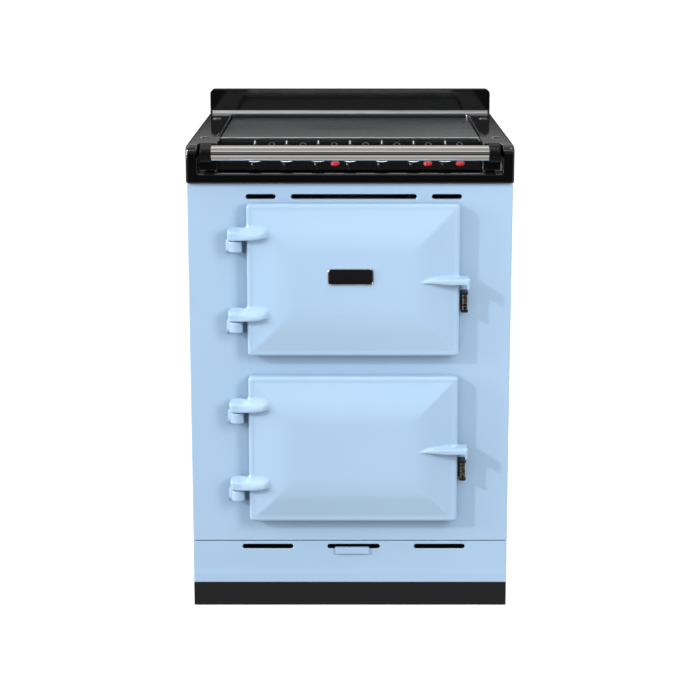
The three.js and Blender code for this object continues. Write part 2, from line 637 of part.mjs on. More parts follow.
function makeCavity(door, fanZ) {
  const mouth = aperture(door, CAVITY_MARGIN + SHEET);
  let cavity = join(
    cavityBox(door, 0, OVEN_FRONT, OVEN_BACK),
    cavityBox(door, CAVITY_FLANGE, OVEN_FRONT, OVEN_FRONT + SHEET),
  );
  cavity = cut(cavity, cavityBox(door, -SHEET, OVEN_FRONT - 1, OVEN_BACK - SHEET));
  const runnerBack = OVEN_FRONT + SHELF_DEPTH + RUNNER_W;
  for (const i of range(RUNNER_COUNT)) {
    const z = mouth.z0 + RUNNER_SPACING * (i + 0.8);
    cavity = join(cavity,
      box(mouth.x0 - SHEET / 2, mouth.x0 + RUNNER_W, OVEN_FRONT + RUNNER_W, runnerBack, z, z + RUNNER_H),
      box(mouth.x1 - RUNNER_W, mouth.x1 + SHEET / 2, OVEN_FRONT + RUNNER_W, runnerBack, z, z + RUNNER_H));
  }
  if (fanZ !== undefined) {
    const hole = rod('y', DOOR_CENTRE_X, fanZ, OVEN_BACK - 2 * SHEET, OVEN_BACK + 1, FAN_SHAFT_R + RUNNING);
    cavity = cut(cavity, hole);
  }
  add(`${door.name}_oven_cavity`, cavity, OVEN_ENAMEL);

  // Wire shelf: two cross rods carry the long ones, and its edge rods lie on the runners.
  const r = SHELF_ROD_R;
  const z = mouth.z0 + RUNNER_SPACING * (SHELF_LEVEL + 0.8) + RUNNER_H + CLEAR + r;
  const x0 = mouth.x0 + 1 + r;
  const x1 = mouth.x1 - 1 - r;
  const y0 = OVEN_FRONT + RUNNER_W;
  const y1 = y0 + SHELF_DEPTH;
  const longRods = range(SHELF_RODS).map((i) =>
    rod('y', THREE.MathUtils.lerp(x0, x1, i / (SHELF_RODS - 1)), z, y0, y1, r, 6));
  const shelf = join(
    rod('x', y0 + 2 * r, z, x0 - r, x1 + r, r, 6),
    rod('x', y1 - 2 * r, z, x0 - r, x1 + r, r, 6),
    ...longRods,
  );
  add(`${door.name}_oven_shelf`, shelf, POLISHED_STEEL);
}

// Sheathed element bent to and fro below the roof of the upper oven.
function makeGrill(door) {
  const roof = aperture(door, CAVITY_MARGIN + SHEET).z1;
  const z = roof - GRILL_DROP;
  const pitch = GRILL_WIDTH / (GRILL_PASSES - 1);
  const turn = pitch / 2;
  const back = OVEN_BACK - SHEET - CLEAR;
  const near = back - GRILL_DEPTH + turn;
  const far = back - turn - 2 * GRILL_TUBE_R;
  const bulge = turn * 4 / 3;
  const path = new THREE.CurvePath();
  const point = (x, y) => new THREE.Vector3(x, y, z);
  for (const i of range(GRILL_PASSES)) {
    const x = DOOR_CENTRE_X - GRILL_WIDTH / 2 + i * pitch;
    const forward = i % 2 === 0;
    const start = i === 0 ? back : forward ? far : near;
    const end = i === GRILL_PASSES - 1 ? back : forward ? near : far;
    path.add(new THREE.LineCurve3(point(x, start), point(x, end)));
    if (i < GRILL_PASSES - 1) {
      const bend = forward ? end - bulge : end + bulge;
      path.add(new THREE.CubicBezierCurve3(point(x, end), point(x, bend), point(x + pitch, bend),
        point(x + pitch, end)));
    }
  }
  const section = new THREE.Shape().absarc(0, 0, GRILL_TUBE_R, 0, Math.PI * 2);
  const tube = new THREE.ExtrudeGeometry(section, { steps: 44, curveSegments: 3, extrudePath: path });
  add('grill_element', solid(tube), DULL_STEEL);
}

function makeFan(door) {
  const x = DOOR_CENTRE_X;
  const wall = OVEN_BACK - SHEET;
  const plateT = 1.5;
  const hubR = 14;
  const bladeIn = FAN_R * 0.55;
  const back = wall - 4;
  let fan = join(
    rod('y', x, door.z, back - plateT, back, FAN_R, 24),
    rod('y', x, door.z, back - FAN_T, back - 1, hubR),
    rod('y', x, door.z, back - 1, OVEN_BACK + MOTOR_LENGTH / 3, FAN_SHAFT_R),
  );
  for (const i of range(FAN_BLADES)) {
    const blade = new THREE.BoxGeometry(FAN_R - bladeIn, FAN_T - 1, plateT);
    blade.translate((FAN_R + bladeIn) / 2, 0, 0);
    blade.rotateY(i * 2 * Math.PI / FAN_BLADES);
    blade.translate(x, back - plateT / 2 - (FAN_T - 1) / 2, door.z);
    fan = join(fan, solid(blade));
  }
  add('oven_fan', fan, DULL_STEEL);

  const motorFront = OVEN_BACK + CLEAR;
  const motor = cut(
    rod('y', x, door.z, motorFront, motorFront + MOTOR_LENGTH, MOTOR_R, 20),
    rod('y', x, door.z, motorFront - 1, motorFront + MOTOR_LENGTH / 2, FAN_SHAFT_R + CLEAR),
  );
  add('fan_motor', motor, GALVANISED);

  // Pan-shaped baffle over the fan: slots in the middle draw air in, its open ends let it out.
  const half = FAN_R + 14;
  const front = wall - BAFFLE_GAP;
  let baffle = cut(
    box(x - half, x + half, front, wall - CLEAR, door.z - half, door.z + half),
    box(x - half + SHEET, x + half - SHEET, front + SHEET, wall + 1, door.z - half + SHEET,
      door.z + half - SHEET),
  );
  for (const i of range(5)) {
    const z = door.z + (i - 2) * 16;
    const slot = roundedRect(x - 34, x + 34, z - 4, z + 4, 3.9);
    baffle = cut(baffle, prism(slot, ALONG_Y, front - 1, front + SHEET + 1, 2));
  }
  const outlets = box(x - half - 1, x + half + 1, front + SHEET + 4, wall - 8, door.z - half / 2,
    door.z + half / 2);
  add('fan_baffle', cut(baffle, outlets), OVEN_ENAMEL);
}

function makeOvens() {
  const [upper, lower] = DOORS;
  makeCavity(upper);
  makeCavity(lower, lower.z);
  makeGrill(upper);
  makeFan(lower);
  const half = HALF_W - SHEET - CLEAR;
  const front = OVEN_FRONT + SHEET + CLEAR;
  const back = BODY_DEPTH - 2 * SHEET - 2 * CLEAR;
  const wool = cut(
    box(-half, half, front, back, INSULATION_BOTTOM, INSULATION_TOP),
    cavityBox(upper, CLEAR, front - 1, OVEN_BACK + CLEAR),
    cavityBox(lower, CLEAR, front - 1, OVEN_BACK + CLEAR),
    rod('y', DOOR_CENTRE_X, lower.z, OVEN_BACK - 1, back + 1, MOTOR_R + RUNNING, 20),
  );
  add('oven_insulation', wool, MINERAL_WOOL);
}

// ---- doors ----------------------------------------------------------------------------------------------
// Closed shell through rounded rectangles, each { inset, y, r }, listed from the back to the front.
function loft(door, rings, arcSteps = 3) {
  const outline = ({ inset, y, r }) => {
    const w = DOOR_W / 2 - inset;
    const h = door.height / 2 - inset;
    const corners = [[w, -h, -90], [w, h, 0], [-w, h, 90], [-w, -h, 180]];
    return corners.flatMap(([x, z, from]) => range(arcSteps + 1).map((i) => {
      const a = THREE.MathUtils.degToRad(from + 90 * i / arcSteps);
      const cx = x - Math.sign(x) * r;
      const cz = z - Math.sign(z) * r;
      return [DOOR_CENTRE_X + cx + r * Math.cos(a), y, door.z + cz + r * Math.sin(a)];
    }));
  };
  const count = 4 * (arcSteps + 1);
  const points = rings.flatMap(outline);
  const index = [];
  for (const k of range(rings.length - 1)) {
    for (const i of range(count)) {
      const j = (i + 1) % count;
      const a = k * count + i;
      const b = k * count + j;
      index.push(a, b, a + count, b, b + count, a + count);
    }
  }
  const last = (rings.length - 1) * count;
  for (let i = 1; i < count - 1; i += 1) {
    index.push(0, i + 1, i);
    index.push(last, last + i, last + i + 1);
  }
  const geometry = new THREE.BufferGeometry();
  geometry.setAttribute('position', new THREE.Float32BufferAttribute(points.flat(), 3));
  geometry.setIndex(index);
  return solid(geometry);
}

const RIM_Y = -(DOOR_BACK_GAP + DOOR_T);
const CROWN_Y = RIM_Y - DOOR_CROWN;

function doorBlank(door) {
  const corner = DOOR_ROUND + 2;
  const roundOff = range(4).map((i) => {
    const a = Math.PI / 2 * i / 3;
    return { inset: DOOR_ROUND * (1 - Math.cos(a)), y: RIM_Y + DOOR_ROUND * (1 - Math.sin(a)), r: corner };
  });
  return loft(door, [
    { inset: 1, y: -DOOR_BACK_GAP, r: corner },
    { inset: 0, y: -DOOR_BACK_GAP - 2, r: corner },
    ...roundOff,
    { inset: DOOR_RIM, y: RIM_Y, r: corner },
    { inset: DOOR_RIM + DOOR_FACET * 0.5, y: RIM_Y - DOOR_CROWN * 0.62, r: corner },
    { inset: DOOR_RIM + DOOR_FACET, y: CROWN_Y, r: corner + DOOR_ROUND },
  ]);
}

function doorHollow(door) {
  return loft(door, [
    { inset: DOOR_WALL, y: 1, r: DOOR_ROUND },
    { inset: DOOR_WALL, y: RIM_Y + DOOR_WALL, r: DOOR_ROUND },
    { inset: DOOR_RIM + DOOR_FACET + DOOR_WALL, y: CROWN_Y + DOOR_WALL, r: DOOR_ROUND },
  ]);
}

function hingeArm(armZ) {
  const plan = polygon([
    [PIN_X - EYE_R, -PIN_OUT], [PIN_X - EYE_R, -ARM_TIP_OUT + 3], [PIN_X - EYE_R + 3, -ARM_TIP_OUT],
    [PIN_X + EYE_R, -ARM_REACH + 3], [DOOR_X0 + DOOR_ROUND, -ARM_REACH], [ARM_END_X - DOOR_ROUND, -ARM_REACH + 1],
    [ARM_END_X, RIM_Y - DOOR_CROWN / 2], [ARM_END_X, RIM_Y + DOOR_ROUND],
    [DOOR_X0 + DOOR_ROUND, -DOOR_BACK_GAP - 2], [PIN_X + EYE_R / 2, -PIN_OUT + EYE_R * 0.8],
  ]);
  // The upper face is level; the arm's height falls away to a point where it dies into the door.
  const flank = polygon([
    [PIN_X - EYE_R, armZ], [PIN_X - EYE_R, armZ + ARM_H], [DOOR_X0, armZ + ARM_H],
    [ARM_END_X, armZ + ARM_H - 5], [ARM_END_X, armZ + ARM_H - 11], [DOOR_X0 + 8, armZ],
  ]);
  const wedge = prism(plan, ALONG_Z, armZ, armZ + ARM_H)
    .intersect(prism(flank, ALONG_Y, -ARM_REACH - 1, 1));
  return join(wedge, rod('z', PIN_X, -PIN_OUT, armZ, armZ + ARM_H, EYE_R, 20));
}

function latchArm(door) {
  const half = LATCH_H / 2;
  const z = door.z;
  const front = polygon([
    [LATCH_START_X, z + 1], [LATCH_START_X + 30, z + half * 0.8], [LATCH_START_X + 50, z + half],
    [LATCH_END_X, z + half], [LATCH_END_X, z - half - LATCH_HOOK],
    [LATCH_END_X - LATCH_HOOK, z - half - LATCH_HOOK], [LATCH_END_X - LATCH_HOOK, z - half],
    [DOOR_X1, z - half], [DOOR_X1 - 18, z - half * 0.8], [LATCH_START_X + 30, z - half * 0.35],
  ]);
  const plan = polygon([
    [LATCH_START_X, CROWN_Y + DOOR_ROUND], [LATCH_START_X, CROWN_Y - 0.5], [LATCH_START_X + 40, -LATCH_OUT],
    [LATCH_END_X - 3, -LATCH_OUT], [LATCH_END_X, -LATCH_OUT + 3],
    [LATCH_END_X, -CATCH_OUT + CATCH_R + 6], [DOOR_X1 - DOOR_ROUND, -CATCH_OUT + CATCH_R + 6],
  ]);
  return prism(plan, ALONG_Z, z - 2 * LATCH_H, z + 2 * LATCH_H)
    .intersect(prism(front, ALONG_Y, -LATCH_OUT - 1, 1));
}

function makeDoor(door) {
  const arms = hingeArms(door).map(hingeArm);
  const bores = hingeArms(door).map((armZ) =>
    rod('z', PIN_X, -PIN_OUT, armZ - 1, armZ + ARM_H - PIN_R, PIN_R + CLEAR));
  const casting = cut(join(doorBlank(door), ...arms, latchArm(door)), doorHollow(door), ...bores);
  add(`${door.name}_door`, casting, BLUE_ENAMEL);

  // Inside the casting: wool, then a pan whose raised middle fills the oven's mouth.
  const slab = (inset, y0, y1) => box(DOOR_X0 + inset, DOOR_X1 - inset, y0, y1,
    door.z - door.height / 2 + inset, door.z + door.height / 2 - inset);
  const linerFront = -DOOR_BACK_GAP - SHEET;
  const fit = DOOR_WALL + 2;
  add(`${door.name}_door_insulation`, slab(fit, RIM_Y + DOOR_WALL + CLEAR, linerFront - CLEAR), MINERAL_WOOL);
  const plug = APERTURE_LAP + 8;
  const plugDepth = PLATE_T - 4;
  const liner = cut(
    join(slab(fit, linerFront, -DOOR_BACK_GAP), slab(plug, -DOOR_BACK_GAP - 1, plugDepth)),
    slab(plug + SHEET, linerFront - 1, plugDepth - SHEET),
  );
  add(`${door.name}_door_liner`, liner, OVEN_ENAMEL);
  const ring = (inset) => roundedRect(DOOR_X0 + inset, DOOR_X1 - inset,
    door.z - door.height / 2 + inset, door.z + door.height / 2 - inset, APERTURE_ROUND);
  const seal = cut(
    prism(ring(APERTURE_LAP - 8), ALONG_Y, -DOOR_BACK_GAP + CLEAR, -CLEAR, 3),
    prism(ring(APERTURE_LAP), ALONG_Y, -DOOR_BACK_GAP, 0, 3),
  );
  add(`${door.name}_door_seal`, seal, ROPE_SEAL);
}

// Catch beside the door's free edge: a roller on a pin between two lugs, below the latch arm.
function makeCatch(door) {
  const rollerTop = door.z - LATCH_H / 2 - LATCH_HOOK - CATCH_LUG_T - 6;
  const rollerBottom = rollerTop - ROLLER_H;
  const lugHalf = CATCH_R + 1.5;
  const plate = 3;
  const lug = (z) => join(
    box(CATCH_X - lugHalf, CATCH_X + lugHalf, -CATCH_OUT, -CLEAR, z, z + CATCH_LUG_T),
    rod('z', CATCH_X, -CATCH_OUT, z, z + CATCH_LUG_T, lugHalf),
  );
  const bracket = join(
    box(CATCH_X - lugHalf, CATCH_X + lugHalf, -CLEAR - plate, -CLEAR,
      rollerBottom - CATCH_LUG_T, rollerTop + CATCH_LUG_T),
    lug(rollerTop),
    lug(rollerBottom - CATCH_LUG_T),
    rod('z', CATCH_X, -CATCH_OUT, rollerBottom - 1, rollerTop + 1, CATCH_PIN_R),
  );
  add(`${door.name}_catch_bracket`, bracket, DULL_STEEL);
  const roller = cut(
    rod('z', CATCH_X, -CATCH_OUT, rollerBottom + CLEAR, rollerTop - CLEAR, CATCH_R, 16),
    rod('z', CATCH_X, -CATCH_OUT, rollerBottom, rollerTop, CATCH_PIN_R + CLEAR),
  );
  add(`${door.name}_catch_roller`, roller, DULL_STEEL);
}

makeBase();
makeCasing();
makeFront();
makeFingerPull();
makeTopCasting();
makeHob();
makeControls();
makeRail();
makeOvens();
DOORS.forEach(makeDoor);
DOORS.forEach(makeCatch);

// The part's origin is under the middle of the whole cooker, hand rail included.
const FRONT_REACH = RAIL_OUT + RAIL_R + CLEAR + RAIL_BRACKET_WALL;
cooker.position.y = (FRONT_REACH - BODY_DEPTH) / 2;

export default cooker;
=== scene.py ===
import math

import bmesh
import bpy
import numpy as np
from mathutils import Matrix, Vector


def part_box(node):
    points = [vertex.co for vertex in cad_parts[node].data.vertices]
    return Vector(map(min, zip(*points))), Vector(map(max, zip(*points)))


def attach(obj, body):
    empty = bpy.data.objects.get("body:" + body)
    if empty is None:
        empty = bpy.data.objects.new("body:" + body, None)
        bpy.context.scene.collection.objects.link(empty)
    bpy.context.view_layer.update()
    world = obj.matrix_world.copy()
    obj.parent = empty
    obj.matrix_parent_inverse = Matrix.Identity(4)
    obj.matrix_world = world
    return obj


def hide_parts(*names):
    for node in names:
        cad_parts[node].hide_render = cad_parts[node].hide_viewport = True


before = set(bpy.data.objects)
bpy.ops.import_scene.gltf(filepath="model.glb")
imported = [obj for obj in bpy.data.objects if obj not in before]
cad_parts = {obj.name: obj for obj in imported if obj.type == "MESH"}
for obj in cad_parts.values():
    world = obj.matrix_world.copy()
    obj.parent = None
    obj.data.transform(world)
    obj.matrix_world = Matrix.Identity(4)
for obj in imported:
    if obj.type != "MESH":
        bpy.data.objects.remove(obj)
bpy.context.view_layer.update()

# ---- studio -----------------------------------------------------------------------------------
# The cooker stands on a plain pale floor, seen from the front and a little above, as a shop's
# picture shows it. One small hard light from the upper left draws the shadows; large soft ones
# give the enamel and the steel their broad reflections.
FRONT_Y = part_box("plinth_cover")[0].y
CAMERA_DISTANCE = 3.324
CAMERA_HEIGHT = 1.278
CAMERA_PITCH = math.radians(11.79)
CAMERA_LENS = 94.02
CAMERA_SHIFT = -0.06
FLOOR_SIZE = 60.0

scene = bpy.context.scene
scene.view_settings.view_transform = "Standard"


def linked(name, data):
    made = bpy.data.objects.new(name, data)
    scene.collection.objects.link(made)
    return made


camera = linked("camera", bpy.data.cameras.new("camera"))
camera.data.lens = CAMERA_LENS
camera.data.shift_y = CAMERA_SHIFT
camera.data.clip_end = 200
camera.location = (0, FRONT_Y - CAMERA_DISTANCE, CAMERA_HEIGHT)
camera.rotation_euler = (math.pi / 2 - CAMERA_PITCH, 0, 0)
scene.camera = camera

MIDDLE = Vector((0, -0.2, 0.5))


def softbox(name, place, size, power):
    """A rectangular light at place that faces the cooker's middle."""
    lamp = bpy.data.lights.new(name, "AREA")
    lamp.shape = "RECTANGLE"
    lamp.size, lamp.size_y = size
    lamp.energy = power
    light = linked(name, lamp)
    light.location = place
    light.rotation_euler = (MIDDLE - Vector(place)).to_track_quat("-Z", "Y").to_euler()
    return light


softbox("left_softbox", (-3.5, -0.9, 1.5), (1.4, 2.2), 112)
softbox("right_softbox", (1.5, -2.0, 1.5), (0.7, 1.4), 40).visible_glossy = False
softbox("top_softbox", (-0.3, -0.7, 3.2), (2.2, 1.0), 18).visible_glossy = False
softbox("front_softbox", (0, -3.2, 3.2), (3.2, 0.4), 14).visible_glossy = False
# Narrow strips that only the gloss sees draw the thin bright lines on every rounded edge.
softbox("high_gloss", (-0.3, -0.7, 3.2), (3.0, 0.22), 62).visible_diffuse = False
softbox("front_gloss", (0, -3.2, 3.2), (3.2, 0.2), 16).visible_diffuse = False
HARD_LIGHT_FROM = Vector((-1.5, -1.0, 0.9))
sun = bpy.data.lights.new("hard_light", "SUN")
sun.energy = 1.3
sun.angle = math.radians(3)
linked("hard_light", sun).rotation_euler = (-HARD_LIGHT_FROM).to_track_quat("-Z", "Y").to_euler()


def node(tree, kind, settings=None, **inputs):
    """A node in tree. Inputs are named as its sockets are, and hold a value or another node's output."""
    made = tree.nodes.new(kind)
    for key, value in (settings or {}).items():
        setattr(made, key, value)
    for key, value in inputs.items():
        index = int(key[1:]) if key[1:].isdigit() else key.replace("_", " ")
        if isinstance(value, bpy.types.NodeSocket):
            tree.links.new(value, made.inputs[index])
        else:
            made.inputs[index].default_value = value
    return made


def output(tree, kind, settings=None, **inputs):
    """The same node's first output."""
    return node(tree, kind, settings, **inputs).outputs[0]


def reckoned(tree, operation, first, second):
    """The result of a sum in a tree."""
    return output(tree, "ShaderNodeMath", {"operation": operation}, _0=first, _1=second)


def blank_material(name, colour, roughness, metallic=0.0, slot=None, **sockets):
    """A material whose shader holds these plain values; the argument slot is not used."""
    made = bpy.data.materials.new(name)
    made.use_nodes = True
    shader = made.node_tree.nodes["Principled BSDF"]
    shader.inputs["Base Color"].default_value = (*colour, 1)
    shader.inputs["Roughness"].default_value = roughness
    shader.inputs["Metallic"].default_value = metallic
    for key, value in sockets.items():
        shader.inputs[key.replace("_", " ")].default_value = value
    return made


def noise(finish, scale, detail=2.0, stretch=(1, 1, 1), **more):
    """Noise over the piece in its own metres; stretch above 1 packs it along that axis."""
    tree = finish.node_tree
    place = node(tree, "ShaderNodeTexCoord").outputs["Object"]
    if stretch != (1, 1, 1):
        place = output(tree, "ShaderNodeMapping", Vector=place, Scale=stretch)
    return output(tree, "ShaderNodeTexNoise", Vector=place, Scale=scale, Detail=detail, **more)


def spread(finish, value, low, high, start=0.3, end=0.7):
    """The value between start and end, spread from low to high; finish may also be the world."""
    return output(finish.node_tree, "ShaderNodeMapRange", Value=value, From_Min=start, From_Max=end,
                  To_Min=low, To_Max=high)


def shaded(finish, socket, value):
    """Feeds a value to one of the finish's own shader sockets."""
    finish.node_tree.links.new(value, finish.node_tree.nodes["Principled BSDF"].inputs[socket])


def roughened(finish, value, low, high, start=0.3, end=0.7):
    """Roughness that wanders from low to high with the value."""
    shaded(finish, "Roughness", spread(finish, value, low, high, start, end))


def tinted(finish, value, low, high, start=0.3, end=0.7):
    """Base colour that wanders from low to high with the value."""
    made = node(finish.node_tree, "ShaderNodeMix", {"data_type": "RGBA"},
                _0=spread(finish, value, 0, 1, start, end))
    made.inputs[6].default_value = (*low, 1)      # its sockets A, B and Result for colours
    made.inputs[7].default_value = (*high, 1)
    shaded(finish, "Base Color", made.outputs[2])


def bumped(finish, value, distance, under=None):
    """The value as relief of that height in metres, on top of the relief under it."""
    made = node(finish.node_tree, "ShaderNodeBump", Height=value, Distance=distance, Strength=1.0)
    if under:
        finish.node_tree.links.new(under, made.inputs["Normal"])
    shaded(finish, "Normal", made.outputs[0])
    return made.outputs[0]


# The studio's walls are white and light the cooker evenly. What its gloss mirrors is the ring of
# light banks and dark gaps that runs over it from the front to the back: each stop gives how far
# round it lies, in degrees above the front, and how bright it is.
LIGHT_RING = ((-180, 0.30), (-60, 0.38), (-47, 0.44), (-43, 0.74), (-30, 0.70), (-24, 0.24),
              (-14, 0.03), (-2, 0.025), (3, 0.24), (12, 0.12), (30, 0.14), (35, 1.0), (45, 1.0),
              (51, 0.20), (66, 0.20), (71, 0.62), (84, 0.62), (89, 0.18), (96, 0.18), (100, 1.3),
              (114, 1.3), (118, 0.07), (133, 0.07), (137, 1.1), (158, 1.1), (165, 0.32),
              (173.2, 0.34), (174.3, 0.05), (180, 0.05))
RING_TOP = 1.3
BACKDROP = 1.02                   # what the camera sees behind the cooker
world = bpy.data.worlds.new("studio")
scene.world = world
world.use_nodes = True
tree = world.node_tree
direction = node(tree, "ShaderNodeTexCoord").outputs["Generated"]
axes = node(tree, "ShaderNodeSeparateXYZ", Vector=direction).outputs
ray = node(tree, "ShaderNodeLightPath").outputs
walls = spread(world, axes["Z"], 0.60, 0.74, -0.2, 0.8)
forward = reckoned(tree, "MULTIPLY", axes["Y"], -1.0)
round_angle = reckoned(tree, "ARCTAN2", axes["Z"], forward)
ring = node(tree, "ShaderNodeValToRGB", Fac=spread(world, round_angle, 0, 1, -math.pi, math.pi))
stops = ring.color_ramp.elements
for stop in LIGHT_RING[1:-1]:
    stops.new((stop[0] + 180) / 360)
for element, (angle, bright) in zip(stops, LIGHT_RING):
    element.position = (angle + 180) / 360
    shade = bright / RING_TOP
    element.color = (shade, shade, shade, 1)
banks = reckoned(tree, "MULTIPLY", ring.outputs[0], RING_TOP)
unseen = output(tree, "ShaderNodeMix", Factor=ray["Is Glossy Ray"], A=walls, B=banks)
seen = output(tree, "ShaderNodeMix", Factor=ray["Is Camera Ray"], A=unseen, B=BACKDROP)
tree.links.new(seen, tree.nodes["Background"].inputs["Strength"])
tree.nodes["Background"].inputs["Color"].default_value = (1, 1, 1, 1)

floor_finish = blank_material("pale_floor", (0.9, 0.9, 0.9), 0.6, Specular_IOR_Level=0.1,
                              Emission_Color=(1, 1, 1, 1), Emission_Strength=0.35)
bumped(floor_finish, noise(floor_finish, 40), 0.0002)
floor = linked("floor", bpy.data.meshes.new("floor"))
half = FLOOR_SIZE / 2
corners = [(-half, -half, 0), (half, -half, 0), (half, half, 0), (-half, half, 0)]
floor.data.from_pydata(corners, [], [(0, 1, 2, 3)])
floor.data.materials.append(floor_finish)
floor.visible_glossy = False
floor.visible_diffuse = False

# ---- base -------------------------------------------------------------------------------------
# A folded black sheet plinth hangs just clear of the floor and hides the pan that carries the
# ovens. The pan stands on four screwed levelling feet.
MM = 0.001
PLINTH_EDGE = 1.2 * MM
FOOT_PAD = 19.0                   # radii and heights in millimetres
FOOT_PAD_TOP = 8.0
FOOT_STEM = 5.0
FOOT_THREAD = 1.75
FOOT_NUT = 10.0
FOOT_NUT_HEIGHTS = 39.0, 47.0


def meshed(work, name):
    """The worked geometry as a mesh."""
    mesh = bpy.data.meshes.new(name)
    work.to_mesh(mesh)
    work.free()
    return mesh


def merged(node_name):
    """A copy of a node's mesh, with its loose triangles joined and its flat faces made whole."""
    work = bmesh.new()
    work.from_mesh(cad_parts[node_name].data)
    bmesh.ops.remove_doubles(work, verts=work.verts, dist=0.01 * MM)
    bmesh.ops.dissolve_limit(work, angle_limit=math.radians(1), verts=work.verts, edges=work.edges)
    for layer in list(work.loops.layers.float_vector):
        work.loops.layers.float_vector.remove(layer)
    mesh = meshed(work, node_name)
    if mesh.has_custom_normals:
        mesh.attributes.remove(mesh.attributes["custom_normal"])
    return mesh


def at(x=0.0, y=0.0, z=0.0):
    """Sets a piece down at this place."""
    return Matrix.Translation((x, y, z))


def applied(piece):
    """The piece with its modifiers worked into a plain mesh."""
    graph = bpy.context.evaluated_depsgraph_get()
    mesh = bpy.data.meshes.new_from_object(piece.evaluated_get(graph), depsgraph=graph)
    piece.modifiers.clear()
    piece.data = mesh
    return piece


def rounded(piece, width, segments=3, angle=35, clamp=True):
    """The piece with each edge sharper than angle rounded over."""
    bevel = piece.modifiers.new("edges", "BEVEL")
    bevel.width = width
    bevel.segments = segments
    bevel.limit_method = "ANGLE"
    bevel.angle_limit = math.radians(angle)
    bevel.use_clamp_overlap = clamp
    bevel.miter_outer = "MITER_ARC"
    applied(piece)
    return smooth(piece)


def smooth(piece, angle=40):
    """The piece shaded smooth, with its flat faces kept flat."""
    piece.data.shade_smooth()
    piece.data.set_sharp_from_angle(angle=math.radians(angle))
    normals = piece.modifiers.new("normals", "WEIGHTED_NORMAL")
    normals.keep_sharp = True
    return applied(piece)


def fitted(piece, body, finish):
    """The piece takes its finish and rides on its body."""
    piece.data.materials.clear()
    piece.data.materials.append(finish)
    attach(piece, body)
    return piece


def finished(piece, body, finish, *nodes):
    """The fitted piece stands for these nodes of the CAD model."""
    fitted(piece, body, finish)
    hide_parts(*nodes)
    return piece


def softened(node_name, name, width, body, finish, segments=3):
    """A node's own shape with the rounded edges of the real piece."""
    piece = rounded(linked(name, merged(node_name)), width, segments)
    return finished(piece, body, finish, node_name)


def dress(finish, *nodes):
    """These nodes keep their own shape and take this finish."""
    for name in nodes:
        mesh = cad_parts[name].data
        mesh.materials.clear()
        mesh.materials.append(finish)


def turned(name, profile, place, steps=40):
    """A solid turned about its own axis from a profile of radius and height; place sets it down."""
    work = bmesh.new()
    rings = []
    for radius, height in profile:
        if radius == 0:
            rings.append([work.verts.new((0, 0, height))])
            continue
        angles = [2 * math.pi * i / steps for i in range(steps)]
        rings.append([work.verts.new((radius * math.cos(a), radius * math.sin(a), height)) for a in angles])
    for lower, upper in zip(rings, rings[1:]):
        for i in range(steps):
            j = (i + 1) % steps
            below = lower[i % len(lower)], lower[j % len(lower)]
            above = upper[j % len(upper)], upper[i % len(upper)]
            corners = list(dict.fromkeys(below + above))
            if len(corners) > 2:
                work.faces.new(corners)
    bmesh.ops.remove_doubles(work, verts=work.verts, dist=0.001 * MM)
    bmesh.ops.recalc_face_normals(work, faces=work.faces)
    work.transform(place)
    return smooth(linked(name, meshed(work, name)))


def joined(name, *pieces):
    """The pieces as one mesh."""
    work = bmesh.new()
    for piece in pieces:
        work.from_mesh(piece.data)
        bpy.data.objects.remove(piece)
    return smooth(linked(name, meshed(work, name)), 45)


plinth_finish = blank_material("plinth_black", (0.0075, 0.0078, 0.0088), 0.42, Specular_IOR_Level=0.35)
grain = noise(plinth_finish, 900)
bumped(plinth_finish, grain, 0.00008)
roughened(plinth_finish, grain, 0.34, 0.5)
softened("base_plinth", "plinth", PLINTH_EDGE, "cabinet", plinth_finish)

zinc_finish = blank_material("galvanised_sheet", (0.55, 0.57, 0.58), 0.42, 1.0)
place = node(zinc_finish.node_tree, "ShaderNodeTexCoord").outputs["Object"]
spangle = node(zinc_finish.node_tree, "ShaderNodeTexVoronoi", Vector=place, Scale=130).outputs["Color"]
flake = output(zinc_finish.node_tree, "ShaderNodeSeparateColor", Color=spangle)
tinted(zinc_finish, flake, (0.50, 0.52, 0.54), (0.63, 0.64, 0.65), 0, 1)
roughened(zinc_finish, flake, 0.32, 0.5, 0, 1)
softened("base_pan", "pan", 0.6 * MM, "cabinet", zinc_finish, 2)

steel_finish = blank_material("dull_steel", (0.30, 0.27, 0.24), 0.36, 1.0)
wear = noise(steel_finish, 240, 4)
tinted(steel_finish, wear, (0.20, 0.17, 0.145), (0.42, 0.40, 0.37))
roughened(steel_finish, wear, 0.26, 0.5)
for end in ("front", "rear"):
    for side in ("left", "right"):
        low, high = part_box(f"levelling_foot_{end}_{side}")
        top = high.z / MM
        profile = [(0, 0), (FOOT_PAD - 1.5, 0), (FOOT_PAD, 1.5), (FOOT_PAD, 5), (FOOT_PAD - 3, 7),
                   (7, FOOT_PAD_TOP)]
        for up in np.arange(FOOT_PAD_TOP + 1, top - 2, FOOT_THREAD):
            profile += [(FOOT_STEM, up), (FOOT_STEM - 0.7, up + FOOT_THREAD / 2)]
        profile += [(FOOT_STEM - 1, top), (0, top)]
        place = at((low.x + high.x) / 2, (low.y + high.y) / 2, 0) @ Matrix.Scale(MM, 4)
        stem = turned("stem", profile, place, 32)
        bottom, cap = FOOT_NUT_HEIGHTS
        profile = [(FOOT_STEM, bottom), (FOOT_NUT - 1, bottom), (FOOT_NUT, bottom + 0.8),
                   (FOOT_NUT, cap - 0.8), (FOOT_NUT - 1, cap), (FOOT_STEM, cap)]
        nut = turned("nut", profile, place, 6)
        foot = joined(f"foot_{end}_{side}", stem, nut)
        finished(foot, "cabinet", steel_finish, f"levelling_foot_{end}_{side}")

